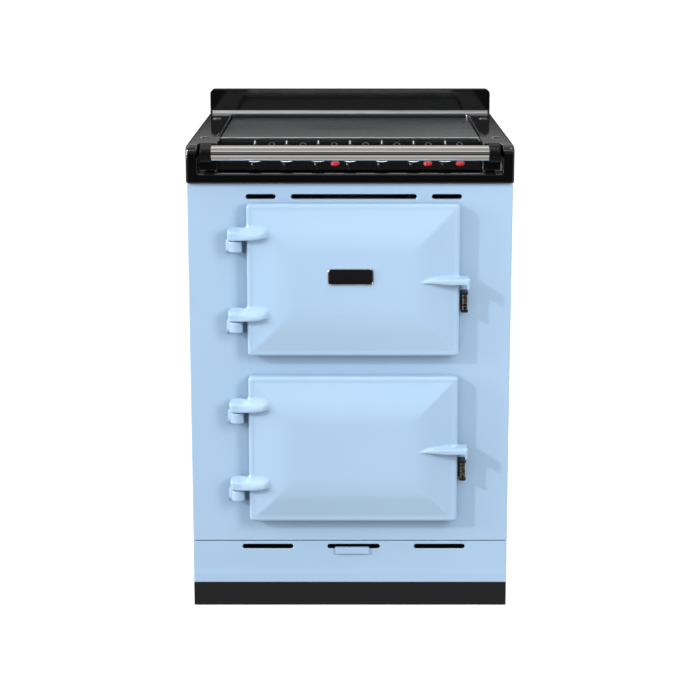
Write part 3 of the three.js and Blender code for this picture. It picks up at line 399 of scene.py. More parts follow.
# ---- side and back panels ---------------------------------------------------------------------
# Enamelled sheet steel, folded back along every edge, closes the sides. The back is plain zinc
# coated sheet with vent slots and a collar for the supply cable, held by a row of screws.
SCREW_HEAD = 4.2 * MM
SCREW_FROM_EDGE = 14 * MM
SCREWS_UP = 7


def enamel(name, low, high, waviness, ripple=26, roughness=(0.07, 0.13), coat=0.35, glassiness=1.5,
           slot=None):
    """Vitreous enamel: a glassy coat that lies in slow waves, with a faint stipple and shade of its own."""
    made = blank_material(name, low, roughness[0], slot=slot, Coat_Weight=coat, Coat_Roughness=0.03,
                          IOR=glassiness)
    cloud = noise(made, 5, 3)
    tinted(made, cloud, low, high)
    wave = bumped(made, noise(made, ripple, 1), waviness)
    bumped(made, noise(made, 420, 2), 0.00002, wave)
    roughened(made, noise(made, 60, 4), *roughness)
    return made


PALE_BLUE = (0.316, 0.450, 0.607)
PALE_BLUE_THICK = (0.331, 0.466, 0.622)
blue_sheet = enamel("blue_enamelled_sheet", PALE_BLUE, PALE_BLUE_THICK, 0.0001)
for side in ("left", "right"):
    softened(f"{side}_side_panel", f"{side}_side", 0.8 * MM, "cabinet", blue_sheet, 2)

softened("back_panel", "back_sheet", 0.4 * MM, "cabinet", zinc_finish, 2)


def growing(name, **inputs):
    """A new Geometry Nodes tree with these named inputs, and its input node's sockets."""
    tree = bpy.data.node_groups.new(name, "GeometryNodeTree")
    for key, kind in inputs.items():
        tree.interface.new_socket(key.replace("_", " "), in_out="INPUT", socket_type=f"NodeSocket{kind}")
    tree.interface.new_socket("Geometry", in_out="OUTPUT", socket_type="NodeSocketGeometry")
    return tree, tree.nodes.new("NodeGroupInput").outputs


def shape(tree, kind, settings=None, **inputs):
    """The first output of a Geometry Nodes node."""
    return output(tree, "GeometryNode" + kind, settings, **inputs)


def ended(tree, geometry):
    """Closes a tree: the instances are made real."""
    real = shape(tree, "RealizeInstances", Geometry=geometry)
    tree.links.new(real, tree.nodes.new("NodeGroupOutput").inputs[0])


def grown(name, tree, place, body, finish, **sizes):
    """The plain mesh that a tree grows from these sizes, set down on its body."""
    piece = linked(name, bpy.data.meshes.new(name))
    grower = piece.modifiers.new("grower", "NODES")
    grower.node_group = tree
    for item in tree.interface.items_tree:
        if item.in_out == "INPUT":
            grower[item.identifier] = sizes[item.name.replace(" ", "_")]
    applied(piece)
    piece.data.transform(place)
    return fitted(smooth(piece), body, finish)


# One pan head screw with its washer, set at each point of a grid.
rows, given = growing("screw_rows", Width="Float", Height="Float", Up="Int", Head="Float")
grid = shape(rows, "MeshGrid", Size_X=given["Width"], Size_Y=given["Height"], Vertices_X=2,
             Vertices_Y=given["Up"])
washer_radius = reckoned(rows, "MULTIPLY", given["Head"], 1.5)
washer = shape(rows, "MeshCylinder", Vertices=28, Radius=washer_radius, Depth=0.8 * MM)
head = shape(rows, "MeshUVSphere", Segments=20, Rings=10, Radius=given["Head"])
head = shape(rows, "Transform", Geometry=head, Scale=(1, 1, 0.55))
screw = node(rows, "GeometryNodeJoinGeometry", Geometry=head)
rows.links.new(washer, screw.inputs[0])
row = shape(rows, "InstanceOnPoints", Points=grid, Instance=screw.outputs[0])
ended(rows, row)
low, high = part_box("back_panel")
backwards = Matrix.Rotation(-math.pi / 2, 4, "X")
facing_back = at((low.x + high.x) / 2, high.y, (low.z + high.z) / 2) @ backwards
grown("back_screws", rows, facing_back, "cabinet", steel_finish,
      Width=high.x - low.x - 2 * SCREW_FROM_EDGE, Height=high.z - low.z - 2 * SCREW_FROM_EDGE,
      Up=SCREWS_UP, Head=SCREW_HEAD)

# ---- front plate ------------------------------------------------------------------------------
# One cast iron plate, enamelled after casting, closes the front. It has three vent slots near its
# top, the mouths of the two ovens, and four knuckles that carry the hinge pins.
PLATE_EDGE = 2.2 * MM
MOUTH_ROUND = 12 * MM
MOUTH_CLEAR = 6 * MM              # plate's mouth outside the oven's
SLOT_HEIGHT = 9 * MM
SLOTS_X = 7 * MM
TOP_SLOTS = (-171 * MM, 55 * MM), (0, 231 * MM), (171 * MM, 55 * MM)
TOP_SLOTS_UP = 792.5 * MM
EYE_RADIUS = 13.0
PIN_OUT = 18.0                    # hinge axis in front of the plate, in millimetres as the next ones
PIN_BORE = 4.3
KNUCKLE_HEIGHT = 20.0
KNUCKLE_GAP = 1.5
KNUCKLE_EDGE = 2.6
KNUCKLE_FOOT = 6.0
KNUCKLE_GRAIN = 1.1               # size of the squares that it is worked from
ARM_SEAT_BELOW_PIN = 19.7 * MM    # underside of a hinge arm below the top of its pin


def rounded_outline(left, right, bottom, top, radius, steps=8):
    """Points round a rectangle whose corners are rounded, anticlockwise."""
    points = []
    corners = (right, bottom, -90), (right, top, 0), (left, top, 90), (left, bottom, 180)
    for x, z, first in corners:
        middle_x = x - math.copysign(radius, x - (left + right) / 2)
        middle_z = z - math.copysign(radius, z - (bottom + top) / 2)
        for i in range(steps + 1):
            angle = math.radians(first + 90 * i / steps)
            points.append((middle_x + radius * math.cos(angle), middle_z + radius * math.sin(angle)))
    return points


def slot_outlines(places, up):
    """The outlines of a row of round-ended slots."""
    outlines = []
    for across, length in places:
        x = SLOTS_X + across
        outlines.append(rounded_outline(x - length / 2, x + length / 2, up - SLOT_HEIGHT / 2,
                                        up + SLOT_HEIGHT / 2, SLOT_HEIGHT / 2 - 0.01 * MM))
    return outlines


def drawn(name, curve, lines, closed):
    """The mesh of a curve that is drawn through the points of these lines."""
    for line in lines:
        spline = curve.splines.new("POLY")
        spline.points.add(len(line) - 1)
        spline.use_cyclic_u = closed
        for point, place in zip(spline.points, line):
            point.co = Vector(place).to_3d().to_4d()
    piece = linked(name, curve)
    graph = bpy.context.evaluated_depsgraph_get()
    mesh = bpy.data.meshes.new_from_object(piece.evaluated_get(graph), depsgraph=graph)
    bpy.data.objects.remove(piece)
    return mesh


def flat_piece(name, outlines, thickness, edge, place):
    """A flat piece with rounded edges. The first outline is its border and the others are its holes;
    place turns its face and sets its middle plane."""
    curve = bpy.data.curves.new(name, "CURVE")
    curve.dimensions = "2D"
    curve.fill_mode = "BOTH"
    curve.extrude = thickness / 2 - edge
    curve.bevel_depth = edge
    curve.bevel_resolution = 2
    curve.offset = -edge
    mesh = drawn(name, curve, outlines, True)
    mesh.transform(place)
    work = bmesh.new()
    work.from_mesh(mesh)
    bmesh.ops.remove_doubles(work, verts=work.verts, dist=0.004 * MM)
    bmesh.ops.recalc_face_normals(work, faces=work.faces)
    return smooth(linked(name, meshed(work, name)), 50)


def upright(y):
    """Turns a flat outline to stand in the front's plane at that depth."""
    return at(y=y) @ Matrix.Rotation(math.pi / 2, 4, "X")


blue_cast = enamel("blue_enamelled_cast_iron", PALE_BLUE, PALE_BLUE_THICK, 0.00022)
low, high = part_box("front_plate")
plate_thick = high.y - FRONT_Y
outlines = [rounded_outline(low.x, high.x, low.z, high.z, PLATE_EDGE * 1.2)]
for oven in ("upper", "lower"):
    mouth_low, mouth_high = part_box(f"{oven}_oven_cavity")
    outlines.append(rounded_outline(mouth_low.x + MOUTH_CLEAR, mouth_high.x - MOUTH_CLEAR,
                                    mouth_low.z + MOUTH_CLEAR, mouth_high.z - MOUTH_CLEAR, MOUTH_ROUND))
outlines += slot_outlines(TOP_SLOTS, TOP_SLOTS_UP)
plate = flat_piece("front_casting", outlines, plate_thick, PLATE_EDGE, upright(FRONT_Y + plate_thick / 2))
finished(plate, "cabinet", blue_cast, "front_plate")


def corner_round(a, b, radius):
    """Where two surfaces bound a body, with the edge between them rounded."""
    outside = np.hypot(np.maximum(a + radius, 0), np.maximum(b + radius, 0))
    return np.minimum(np.maximum(a, b), -radius) + outside


def run_together(a, b, radius):
    """Two bodies run into one, with a fillet between them."""
    inside = np.hypot(np.maximum(radius - a, 0), np.maximum(radius - b, 0))
    return np.maximum(np.minimum(a, b), radius) - inside


def eased(value, start, end):
    """0 before start, 1 after end, and a smooth rise between them."""
    t = np.clip((value - start) / (end - start), 0, 1)
    return t * t * (3 - 2 * t)


def cast_to(name, rough, grain, surface, rounds=7):
    """The rough mesh, made of squares of that size and drawn onto the surface. The surface gives each
    point's distance from the body, from its place across, out of the front and up, all in millimetres."""
    piece = linked(name, rough)
    squares = piece.modifiers.new("squares", "REMESH")
    squares.mode = "VOXEL"
    squares.voxel_size = grain * MM
    applied(piece)
    mesh = piece.data
    points = np.empty(3 * len(mesh.vertices))
    mesh.vertices.foreach_get("co", points)
    points = (points.reshape(-1, 3) - (0, FRONT_Y, 0)) * (1 / MM, -1 / MM, 1 / MM)
    edges = np.empty(2 * len(mesh.edges), dtype=int)
    mesh.edges.foreach_get("vertices", edges)
    first, second = edges.reshape(-1, 2).T
    neighbours = np.bincount(first, minlength=len(points)) + np.bincount(second, minlength=len(points))
    probe = 0.02
    for turn in range(rounds):
        slope = np.empty_like(points)
        for axis in range(3):
            ahead = points.copy()
            ahead[:, axis] += probe
            behind = points.copy()
            behind[:, axis] -= probe
            slope[:, axis] = (surface(*ahead.T) - surface(*behind.T)) / (2 * probe)
        steep = np.maximum((slope ** 2).sum(axis=1), 0.25)
        points -= slope * (np.clip(surface(*points.T), -3, 3) / steep)[:, None]
        if turn < rounds - 3:
            centre = np.empty_like(points)
            for axis in range(3):
                total = np.bincount(first, points[second, axis], len(points))
                total += np.bincount(second, points[first, axis], len(points))
                centre[:, axis] = total / neighbours
            pull = centre - points
            pull -= slope * ((pull * slope).sum(axis=1) / steep)[:, None]
            points += 0.5 * pull
    points = points * (MM, -MM, MM) + (0, FRONT_Y, 0)
    mesh.vertices.foreach_set("co", points.ravel())
    mesh.shade_smooth()
    mesh.update()
    return piece


def block(low_corner, high_corner):
    """A plain block to start a casting from."""
    work = bmesh.new()
    size = Vector(high_corner) - Vector(low_corner)
    middle = (Vector(high_corner) + Vector(low_corner)) / 2
    bmesh.ops.create_cube(work, size=1, matrix=Matrix.Translation(middle) @ Matrix.Diagonal((*size, 1)))
    return meshed(work, "rough")


def knuckle_surface(pin_x, seat):
    """A knuckle below a hinge arm's seat, with the fillet at its foot, run out into the plate's face."""
    def surface(across, out, up):
        eye = np.hypot(across - pin_x, out - PIN_OUT) - EYE_RADIUS
        stem = np.maximum(np.abs(across - pin_x) - EYE_RADIUS, out - PIN_OUT)
        middle = seat - KNUCKLE_GAP - KNUCKLE_HEIGHT / 2
        slab = np.abs(up - middle) - KNUCKLE_HEIGHT / 2
        body = corner_round(np.minimum(eye, stem), slab, KNUCKLE_EDGE)
        body = run_together(body, out + 0.03, KNUCKLE_FOOT)
        reach = np.maximum(np.abs(across - pin_x) - EYE_RADIUS, slab) - KNUCKLE_FOOT * 1.5
        body = np.maximum(body, np.maximum(reach, -2.5 - out))
        bore = np.maximum(np.hypot(across - pin_x, out - PIN_OUT) - PIN_BORE, middle - up - 6)
        return np.maximum(body, -bore)
    return surface


HINGES = [(oven, end) for oven in ("upper", "lower") for end in ("top", "bottom")]
for oven, end in HINGES:
    pin_low, pin_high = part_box(f"{oven}_hinge_pin_{end}")
    pin_x = (pin_low.x + pin_high.x) / 2
    seat = pin_high.z - ARM_SEAT_BELOW_PIN
    rough = block((pin_x - 0.021, FRONT_Y - 0.031, seat - 0.031),
                  (pin_x + 0.021, FRONT_Y + 0.002, seat - 0.0015))
    form = knuckle_surface(pin_x / MM, seat / MM)
    knuckle = cast_to(f"{oven}_knuckle_{end}", rough, KNUCKLE_GRAIN, form)
    fitted(knuckle, "cabinet", blue_cast)

# ---- oven doors -------------------------------------------------------------------------------
# Each door is one hollow iron casting: a flat rim, four shallow facets that rise to a crowned
# middle, two hinge arms at the left and a tapered latch arm at the right, all run together with
# soft fillets and enamelled as one. Sizes are in millimetres.
DOOR_PAST_WOOL = 9.0              # door's outline outside the wool that it holds
DOOR_CORNER = 7.0
DOOR_EDGE = 6.0
DOOR_BACK = 3.0                   # back of the door in front of the plate
DOOR_WALL = 7.0
RIM_OUT = 27.0
RIM_WIDTH = 10.5
CROWN = 15.0
FACET_STRAIGHT = 34.0
FACET_EASED = 46.0
HIP_ROUND = 5.0
ARM_LENGTH = 63.5                 # from the pin to the tip
ARM_FRONT_HEIGHT = 15.0
ARM_BACK_HEIGHT = 23.0
ARM_OUT = 43.0
ARM_EDGE = 3.6
ARM_FILLET = 2.0, 6.0             # below and above an arm
LATCH_START = 122.0               # from the door's middle
LATCH_END = 213.5
LATCH_TOP = 8.8
LATCH_UNDER = 5.2
LATCH_OUT = 45.0
LATCH_BACK = 14.0
HOOK_WIDTH = 5.0
HOOK_DROP = 15.0
DOOR_GRAIN = 2.2


def door_surface(middle_x, middle_z, half_width, half_height, pin_x, seats):
    """A door with its arms, latch and hollow."""
    slope = CROWN / (FACET_STRAIGHT + FACET_EASED / 2)

    def arm(across, out, up):
        eye = np.hypot(across, out - PIN_OUT) - EYE_RADIUS
        front = 31.5 + (ARM_OUT - 31.5) * eased(across, -6, 34) - 9 * eased(across, 46, 66)
        bar = corner_round(out - front, across - ARM_LENGTH, 9)
        bar = corner_round(bar, -across - EYE_RADIUS, 5)
        bar = np.maximum(bar, 6 + 12 * eased(-across, 0, 6) - out)
        rise = 0.28 + 0.5 * eased(across, 8, 24)
        under = 2.6 * eased(across, 0, 30) + 0.12 * np.maximum(across - 34, 0)
        top = np.minimum(ARM_FRONT_HEIGHT + rise * (38 - out), ARM_BACK_HEIGHT)
        top = np.minimum(top + 3 * eased(across, 10, 50), ARM_BACK_HEIGHT - 2 * eased(across, 44, 64))
        flat = corner_round((up - top) / np.hypot(1, rise), under - up, ARM_EDGE)
        return corner_round(run_together(eye, bar, 5), flat, ARM_EDGE)

    def latch(across, out, up):
        along = across - LATCH_START
        top = -1 + (LATCH_TOP + 1) * (1 - (1 - np.clip(along / 30, 0, 1)) ** 2)
        under = -2 - (LATCH_UNDER - 2) * eased(along, 0, 60)
        front = LATCH_OUT - 3.4 * (1 - np.clip(along / 34, 0, 1)) ** 2
        lean = np.maximum(out - 20, 0) * 0.14
        flat = corner_round(up - top + lean, under - up, 2.2)
        bar = corner_round(out - front, across - LATCH_END, 3)
        bar = np.maximum(bar, np.maximum(LATCH_BACK - out, -along))
        bar = corner_round(bar, flat, 2.4)
        hook = corner_round(np.abs(across - LATCH_END + HOOK_WIDTH / 2) - HOOK_WIDTH / 2,
                            np.abs(up + (HOOK_DROP - LATCH_TOP) / 2) - (HOOK_DROP + LATCH_TOP) / 2 + 1.3, 2)
        hook = corner_round(hook, np.maximum(out - LATCH_OUT, LATCH_BACK - out), 2)
        return run_together(bar, hook, 2.5)

    def surface(x, out, z):
        across = x - middle_x
        up = z - middle_z
        inward_x = half_width - np.abs(across)
        inward_z = half_height - np.abs(up)
        hip = np.maximum(HIP_ROUND - np.abs(inward_x - inward_z), 0)
        inward = np.minimum(inward_x, inward_z) - hip ** 2 / (4 * HIP_ROUND) - RIM_WIDTH
        ease = np.clip(inward - FACET_STRAIGHT, 0, FACET_EASED)
        crown = slope * (np.clip(inward, 0, FACET_STRAIGHT) + ease - ease ** 2 / (2 * FACET_EASED))
        face = out - RIM_OUT - crown
        corner_x = np.maximum(DOOR_CORNER - inward_x, 0)
        corner_z = np.maximum(DOOR_CORNER - inward_z, 0)
        side = np.hypot(corner_x, corner_z) - DOOR_CORNER
        side = np.where((corner_x > 0) | (corner_z > 0), side, -np.minimum(inward_x, inward_z))
        body = corner_round(corner_round(face, side, DOOR_EDGE), DOOR_BACK - out, 1.2)
        for seat in seats:
            fillet = ARM_FILLET[0] + (ARM_FILLET[1] - ARM_FILLET[0]) * eased(z - seat, 6, 14)
            body = run_together(body, arm(x - pin_x, out, z - seat), fillet)
        body = run_together(body, latch(across, out, up), 3.5)
        hollow = corner_round(face + DOOR_WALL, side + DOOR_WALL, 3)
        body = np.maximum(body, -hollow)
        for seat in seats:
            bore = np.hypot(x - pin_x, out - PIN_OUT) - PIN_BORE
            bore = np.maximum(bore, np.maximum(z - seat - ARM_FRONT_HEIGHT - 2.5, seat - 3 - z))
            body = np.maximum(body, -bore)
        return body
    return surface


for oven in ("upper", "lower"):
    wool_low, wool_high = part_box(f"{oven}_door_insulation")
    middle = (wool_low + wool_high) / 2 / MM
    half = (wool_high - wool_low) / 2 / MM
    pins = [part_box(f"{oven}_hinge_pin_{end}") for end in ("top", "bottom")]
    pin_x = (pins[0][0].x + pins[0][1].x) / 2 / MM
    seats = [(pin_high.z - ARM_SEAT_BELOW_PIN) / MM for _, pin_high in pins]
    form = door_surface(middle.x, middle.z, half.x + DOOR_PAST_WOOL, half.z + DOOR_PAST_WOOL, pin_x, seats)
    door = cast_to(f"{oven}_door_casting", merged(f"{oven}_door"), DOOR_GRAIN, form)
    finished(door, f"{oven}_oven_door", blue_cast, f"{oven}_door")

# ---- lift-off cover ---------------------------------------------------------------------------
# A bent steel sheet, enamelled blue, closes the foot of the front and lifts off for the fitter. A
# strip folded round the lower edge of its middle slot is the finger pull.
COVER_THICK = 3 * MM
COVER_EDGE = 1.3 * MM
COVER_SET_BACK = 1.3 * MM         # above the bend
COVER_BEND = 61 * MM, 78 * MM     # heights between which it comes forward
BASE_SLOTS = (-163.5 * MM, 97 * MM), (0, 100 * MM), (163.5 * MM, 97 * MM)
BASE_SLOTS_UP = 119 * MM
PULL_EDGE = 1.1 * MM

low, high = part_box("plinth_cover")
outlines = [rounded_outline(low.x, high.x, low.z, high.z, COVER_EDGE * 1.2)]
outlines += slot_outlines(BASE_SLOTS, BASE_SLOTS_UP)
sheet = flat_piece("cover_sheet", outlines, COVER_THICK, COVER_EDGE, upright(low.y + COVER_THICK / 2))
work = bmesh.new()
work.from_mesh(sheet.data)
for up in np.linspace(*COVER_BEND, 8):
    every = work.verts[:] + work.edges[:] + work.faces[:]
    bmesh.ops.bisect_plane(work, geom=every, plane_co=(0, 0, up), plane_no=(0, 0, 1))
for vert in work.verts:
    vert.co.y += COVER_SET_BACK * eased(vert.co.z, *COVER_BEND)
work.to_mesh(sheet.data)
work.free()
flange = block((low.x, low.y + COVER_SET_BACK + COVER_THICK - 0.5 * MM, high.z - COVER_THICK),
               (high.x, high.y, high.z))
flange = rounded(linked("cover_flange", flange), 0.8 * MM, 2)
blue_folded = enamel("blue_enamelled_cover", PALE_BLUE, PALE_BLUE_THICK, 0.00012,
                     slot="blue_enamelled_sheet")
cover = joined("lift_off_cover", sheet, flange)
finished(cover, "cover", blue_folded, "plinth_cover")
softened("finger_pull", "pull", PULL_EDGE, "cover", blue_folded, 3)

# ---- hinge pins and catches -------------------------------------------------------------------
# Ground steel pins drop through the arms into the knuckles. Each latch hooks behind a steel roller
# that turns on a pin between the two lugs of a bracket screwed to the front plate.
PIN_ROUND = 1.0 * MM
ROLLER_GROOVES = 4
GROOVE_DEPTH = 0.45 * MM


def rounded_profile(radius, low, high, edge, steps=5):
    """A disc's profile with its two edges rounded."""
    points = [(0, low)]
    for i in range(steps + 1):
        angle = math.pi / 2 * i / steps
        points.append((radius - edge + edge * math.sin(angle), low + edge - edge * math.cos(angle)))
    for i in range(steps + 1):
        angle = math.pi / 2 * i / steps
        points.append((radius - edge + edge * math.cos(angle), high - edge + edge * math.sin(angle)))
    return points + [(0, high)]


roller_finish = blank_material("roller_steel", (0.12, 0.10, 0.08), 0.3, 1.0, slot="dull_steel")
# Bright and dark bands in the roller's colour are painted reflections, standing for the banded glints on its
# round face.
painted_reflection_bands = noise(roller_finish, 160, 3, (1, 1, 3))
tinted(roller_finish, painted_reflection_bands, (0.05, 0.04, 0.03), (0.36, 0.30, 0.23), 0.38, 0.68)
roughened(roller_finish, painted_reflection_bands, 0.22, 0.42)
pin_finish = blank_material("pin_steel", (0.36, 0.34, 0.31), 0.3, 1.0, slot="dull_steel")
wear = noise(pin_finish, 300, 3, (1, 1, 0.2))
tinted(pin_finish, wear, (0.26, 0.24, 0.215), (0.46, 0.44, 0.41))
for oven, end in HINGES:
    low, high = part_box(f"{oven}_hinge_pin_{end}")
    middle = (low + high) / 2
    pin = turned(f"{oven}_pin_{end}", rounded_profile((high.x - low.x) / 2, low.z, high.z, PIN_ROUND),
                 at(middle.x, middle.y), 32)
    finished(pin, "cabinet", pin_finish, f"{oven}_hinge_pin_{end}")
bracket_finish = blank_material("bracket_black", (0.006, 0.007, 0.009), 0.4, Specular_IOR_Level=0.3,
                                slot="dull_steel")
bumped(bracket_finish, noise(bracket_finish, 300), 0.00003)
for oven in ("upper", "lower"):
    softened(f"{oven}_catch_bracket", f"{oven}_catch", 0.9 * MM, "cabinet", bracket_finish, 3)
    low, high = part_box(f"{oven}_catch_roller")
    middle = (low + high) / 2
    radius = (high.x - low.x) / 2
    bore = radius / 2 + 0.3 * MM
    length = high.z - low.z
    profile = [(bore, low.z), (radius - 0.6 * MM, low.z), (radius, low.z + 0.6 * MM)]
    for groove in range(ROLLER_GROOVES):
        up = low.z + length * (groove + 1) / (ROLLER_GROOVES + 1)
        profile += [(radius, up - 0.9 * MM), (radius - GROOVE_DEPTH, up - 0.5 * MM),
                    (radius - GROOVE_DEPTH, up + 0.5 * MM), (radius, up + 0.9 * MM)]
    profile += [(radius, high.z - 0.6 * MM), (radius - 0.6 * MM, high.z), (bore, high.z), (bore, low.z)]
    sleeve = turned(f"{oven}_roller_sleeve", profile, at(middle.x, middle.y))
    finished(sleeve, f"{oven}_roller", roller_finish, f"{oven}_catch_roller")

# ---- plaque -----------------------------------------------------------------------------------
# A bare pressed plaque, black with a bright rim, sits on the upper door's crown. Two studs on its
# back pass through the casting and hold it.
PLAQUE_WIDTH = 84 * MM
PLAQUE_HEIGHT = 32 * MM
PLAQUE_CORNER = 7 * MM
PLAQUE_X = 1.4 * MM
PLAQUE_UP = 650.8 * MM
PLAQUE_SEAT = 41.6 * MM           # in front of the front plate
RIM_THICK = 2.6 * MM
RIM_BROAD = 2.2 * MM
FACE_THICK = 1.5 * MM

rim_finish = blank_material("bright_rim", (0.78, 0.78, 0.77), 0.14, 1.0, slot="polished_steel")
bumped(rim_finish, noise(rim_finish, 500), 0.00001)
face_finish = blank_material("plaque_black", (0.006, 0.006, 0.007), 0.16, Coat_Weight=0.3,
                             slot="black_enamelled_sheet")
bumped(face_finish, noise(face_finish, 60), 0.00003)
outlines = []
for inset in (0, RIM_BROAD):
    half_x = PLAQUE_WIDTH / 2 - inset
    half_z = PLAQUE_HEIGHT / 2 - inset
    outlines.append(rounded_outline(PLAQUE_X - half_x, PLAQUE_X + half_x, PLAQUE_UP - half_z,
                                    PLAQUE_UP + half_z, PLAQUE_CORNER - inset))
seat_y = FRONT_Y - PLAQUE_SEAT
rim = flat_piece("plaque_rim", outlines, RIM_THICK, 0.9 * MM, upright(seat_y - RIM_THICK / 2))
fitted(rim, "upper_oven_door", rim_finish)
face = flat_piece("plaque_face", outlines[1:], FACE_THICK, 0.2 * MM, upright(seat_y - FACE_THICK / 2))
fitted(face, "upper_oven_door", face_finish)

# ---- top casting ------------------------------------------------------------------------------
# The top is one heavy casting under thick black enamel: two cheeks, a lip across the front, the
# bay of the control panel and the recess of the glass. The upstand is bolted on at the back.
TOP_EDGE = 3.0 * MM
TOP_LONG_EDGE = 7.0 * MM          # outer edges of the two cheeks
CHEEK_ROUND = 17.5 * MM           # their upper front corner
UPSTAND_EDGE = 5.0 * MM
FOOT_HIGHLIGHT_UP = 5.6 * MM                # along the upstand's foot
FOOT_HIGHLIGHT_OUT = 4.8 * MM
PLUG_RADIUS = 9 * MM
PLUG_RISE = 1.8 * MM
PLUG_FROM_SIDE = 23 * MM
PLUGS_BACK = 114 * MM, 455 * MM   # behind the front plate's face

black_cast = enamel("black_enamelled_cast_iron", (0.0010, 0.0010, 0.0013), (0.0016, 0.0016, 0.0020),
                    0.00005, 22, (0.02, 0.05), 0, glassiness=1.95)
low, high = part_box("top_casting")
work = bmesh.new()
work.from_mesh(merged("top_casting"))
outer = []
for edge in work.edges:
    ends = [vert.co for vert in edge.verts]
    at_side = all(abs(end.x) > high.x - 0.5 * MM for end in ends)
    on_top = all(end.z > high.z - 0.5 * MM or end.y < low.y + CHEEK_ROUND for end in ends)
    above = max(end.z for end in ends) > low.z + 1 * MM
    if at_side and on_top and above and edge.calc_face_angle(0) > math.radians(35):
        outer.append(edge)
bmesh.ops.bevel(work, geom=outer, offset=TOP_LONG_EDGE, segments=5, profile=0.5, affect="EDGES",
                clamp_overlap=False)
top_plate = rounded(linked("top_plate", meshed(work, "top_plate")), TOP_EDGE, 4, clamp=False)
finished(top_plate, "cabinet", black_cast, "top_casting")
softened("rear_upstand", "upstand", UPSTAND_EDGE, "cabinet", black_cast, 6)

# A slim satin strip along the upstand's foot is a painted highlight: it stands for the light that the foot's
# fillet catches, and covers the joint.
foot_highlight_finish = blank_material("satin_trim", (0.24, 0.24, 0.25), 0.34, 1.0, slot="polished_steel")
roughened(foot_highlight_finish, noise(foot_highlight_finish, 700, 2, (0.02, 1, 1)), 0.28, 0.4)
low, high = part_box("rear_upstand")
section = [(low.y + 1 * MM, low.z + FOOT_HIGHLIGHT_UP), (low.y, low.z + FOOT_HIGHLIGHT_UP),
           (low.y - 0.5 * FOOT_HIGHLIGHT_OUT, low.z + 0.46 * FOOT_HIGHLIGHT_UP), (low.y - FOOT_HIGHLIGHT_OUT, low.z + 0.2 * MM),
           (low.y - FOOT_HIGHLIGHT_OUT, low.z - 0.4 * MM), (low.y + 1 * MM, low.z - 0.4 * MM)]
lengthways = Matrix(((0, 0, 1, 0), (1, 0, 0, 0), (0, 1, 0, 0), (0, 0, 0, 1)))
foot_highlight_strip = flat_piece("upstand_trim", [section], high.x - low.x - 2 * UPSTAND_EDGE, 0.3 * MM, lengthways)
fitted(foot_highlight_strip, "cabinet", foot_highlight_finish)

# Shallow round plugs close the lifting holes in the deck.
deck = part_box("rear_upstand")[0].z - 0.3 * MM
side = high.x - PLUG_FROM_SIDE
for row, back in zip(("front", "rear"), PLUGS_BACK):
    for hand, x in (("left", -side), ("right", side)):
        profile = [(0, -1 * MM), (PLUG_RADIUS, -1 * MM), (PLUG_RADIUS, 0.4 * MM)]
        for angle in np.linspace(0, math.pi / 2, 10)[1:-1]:
            profile.append((PLUG_RADIUS * math.cos(angle), 0.4 * MM + PLUG_RISE * math.sin(angle)))
        profile.append((0, 0.4 * MM + PLUG_RISE))
        plug = turned(f"deck_plug_{row}_{hand}", profile, at(x, FRONT_Y + back, deck))
        fitted(plug, "cabinet", black_cast)

# ---- hob --------------------------------------------------------------------------------------
# A satin black ceramic glass with ground edges lies in the recess on a bead of sealant. Four coiled
# heaters in pressed dishes sit below it in a zinc coated tray.
GLASS_CORNER = 9 * MM
GLASS_EDGE = 2.0 * MM
STRIP_THICK = 2.4 * MM
STRIP_BELOW_DECK = 3.4 * MM       # middle of the strip
DISH_WALL = 3 * MM
DISH_FLOOR = 12 * MM
COIL_WIRE = 1.6 * MM
COIL_TURNS = 6.5


def wire(tree, curve, radius, resolution=10):
    """A round wire along the curve."""
    section = shape(tree, "CurvePrimitiveCircle", Radius=radius, Resolution=resolution)
    return shape(tree, "CurveToMesh", Curve=curve, Profile_Curve=section, Fill_Caps=True)


glass_finish = blank_material("hob_glass", (0.034, 0.038, 0.039), 0.24)
haze = noise(glass_finish, 3, 2)
roughened(glass_finish, haze, 0.2, 0.3)
speckle = noise(glass_finish, 1400, 1)
tinted(glass_finish, speckle, (0.034, 0.038, 0.039), (0.075, 0.08, 0.082), 0.64, 0.74)
bumped(glass_finish, noise(glass_finish, 9, 1), 0.00004)
low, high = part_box("hob_glass")
outline = rounded_outline(low.x, high.x, low.y, high.y, GLASS_CORNER)
glass = flat_piece("hob_plate", [outline], high.z - low.z, GLASS_EDGE, at(z=(low.z + high.z) / 2))
finished(glass, "cabinet", glass_finish, "hob_glass")
dress(zinc_finish, "hob_tray")

# A slim satin strip along the glass's front edge is a painted highlight: it stands for the light that the
# rounded rim catches there, and covers the joint.
rim_highlight_finish = blank_material("satin_strip", (0.42, 0.42, 0.43), 0.3, 1.0, slot="polished_steel")
roughened(rim_highlight_finish, noise(rim_highlight_finish, 700, 2, (0.02, 1, 1)), 0.24, 0.36)
rim_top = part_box("rear_upstand")[0].z - STRIP_BELOW_DECK
outline = rounded_outline(low.x + 3 * MM, high.x - 3 * MM, low.y - 9 * MM, low.y - 1 * MM, 3 * MM)
strip = flat_piece("front_strip", [outline], STRIP_THICK, 0.9 * MM, at(z=rim_top))
fitted(strip, "cabinet", rim_highlight_finish)

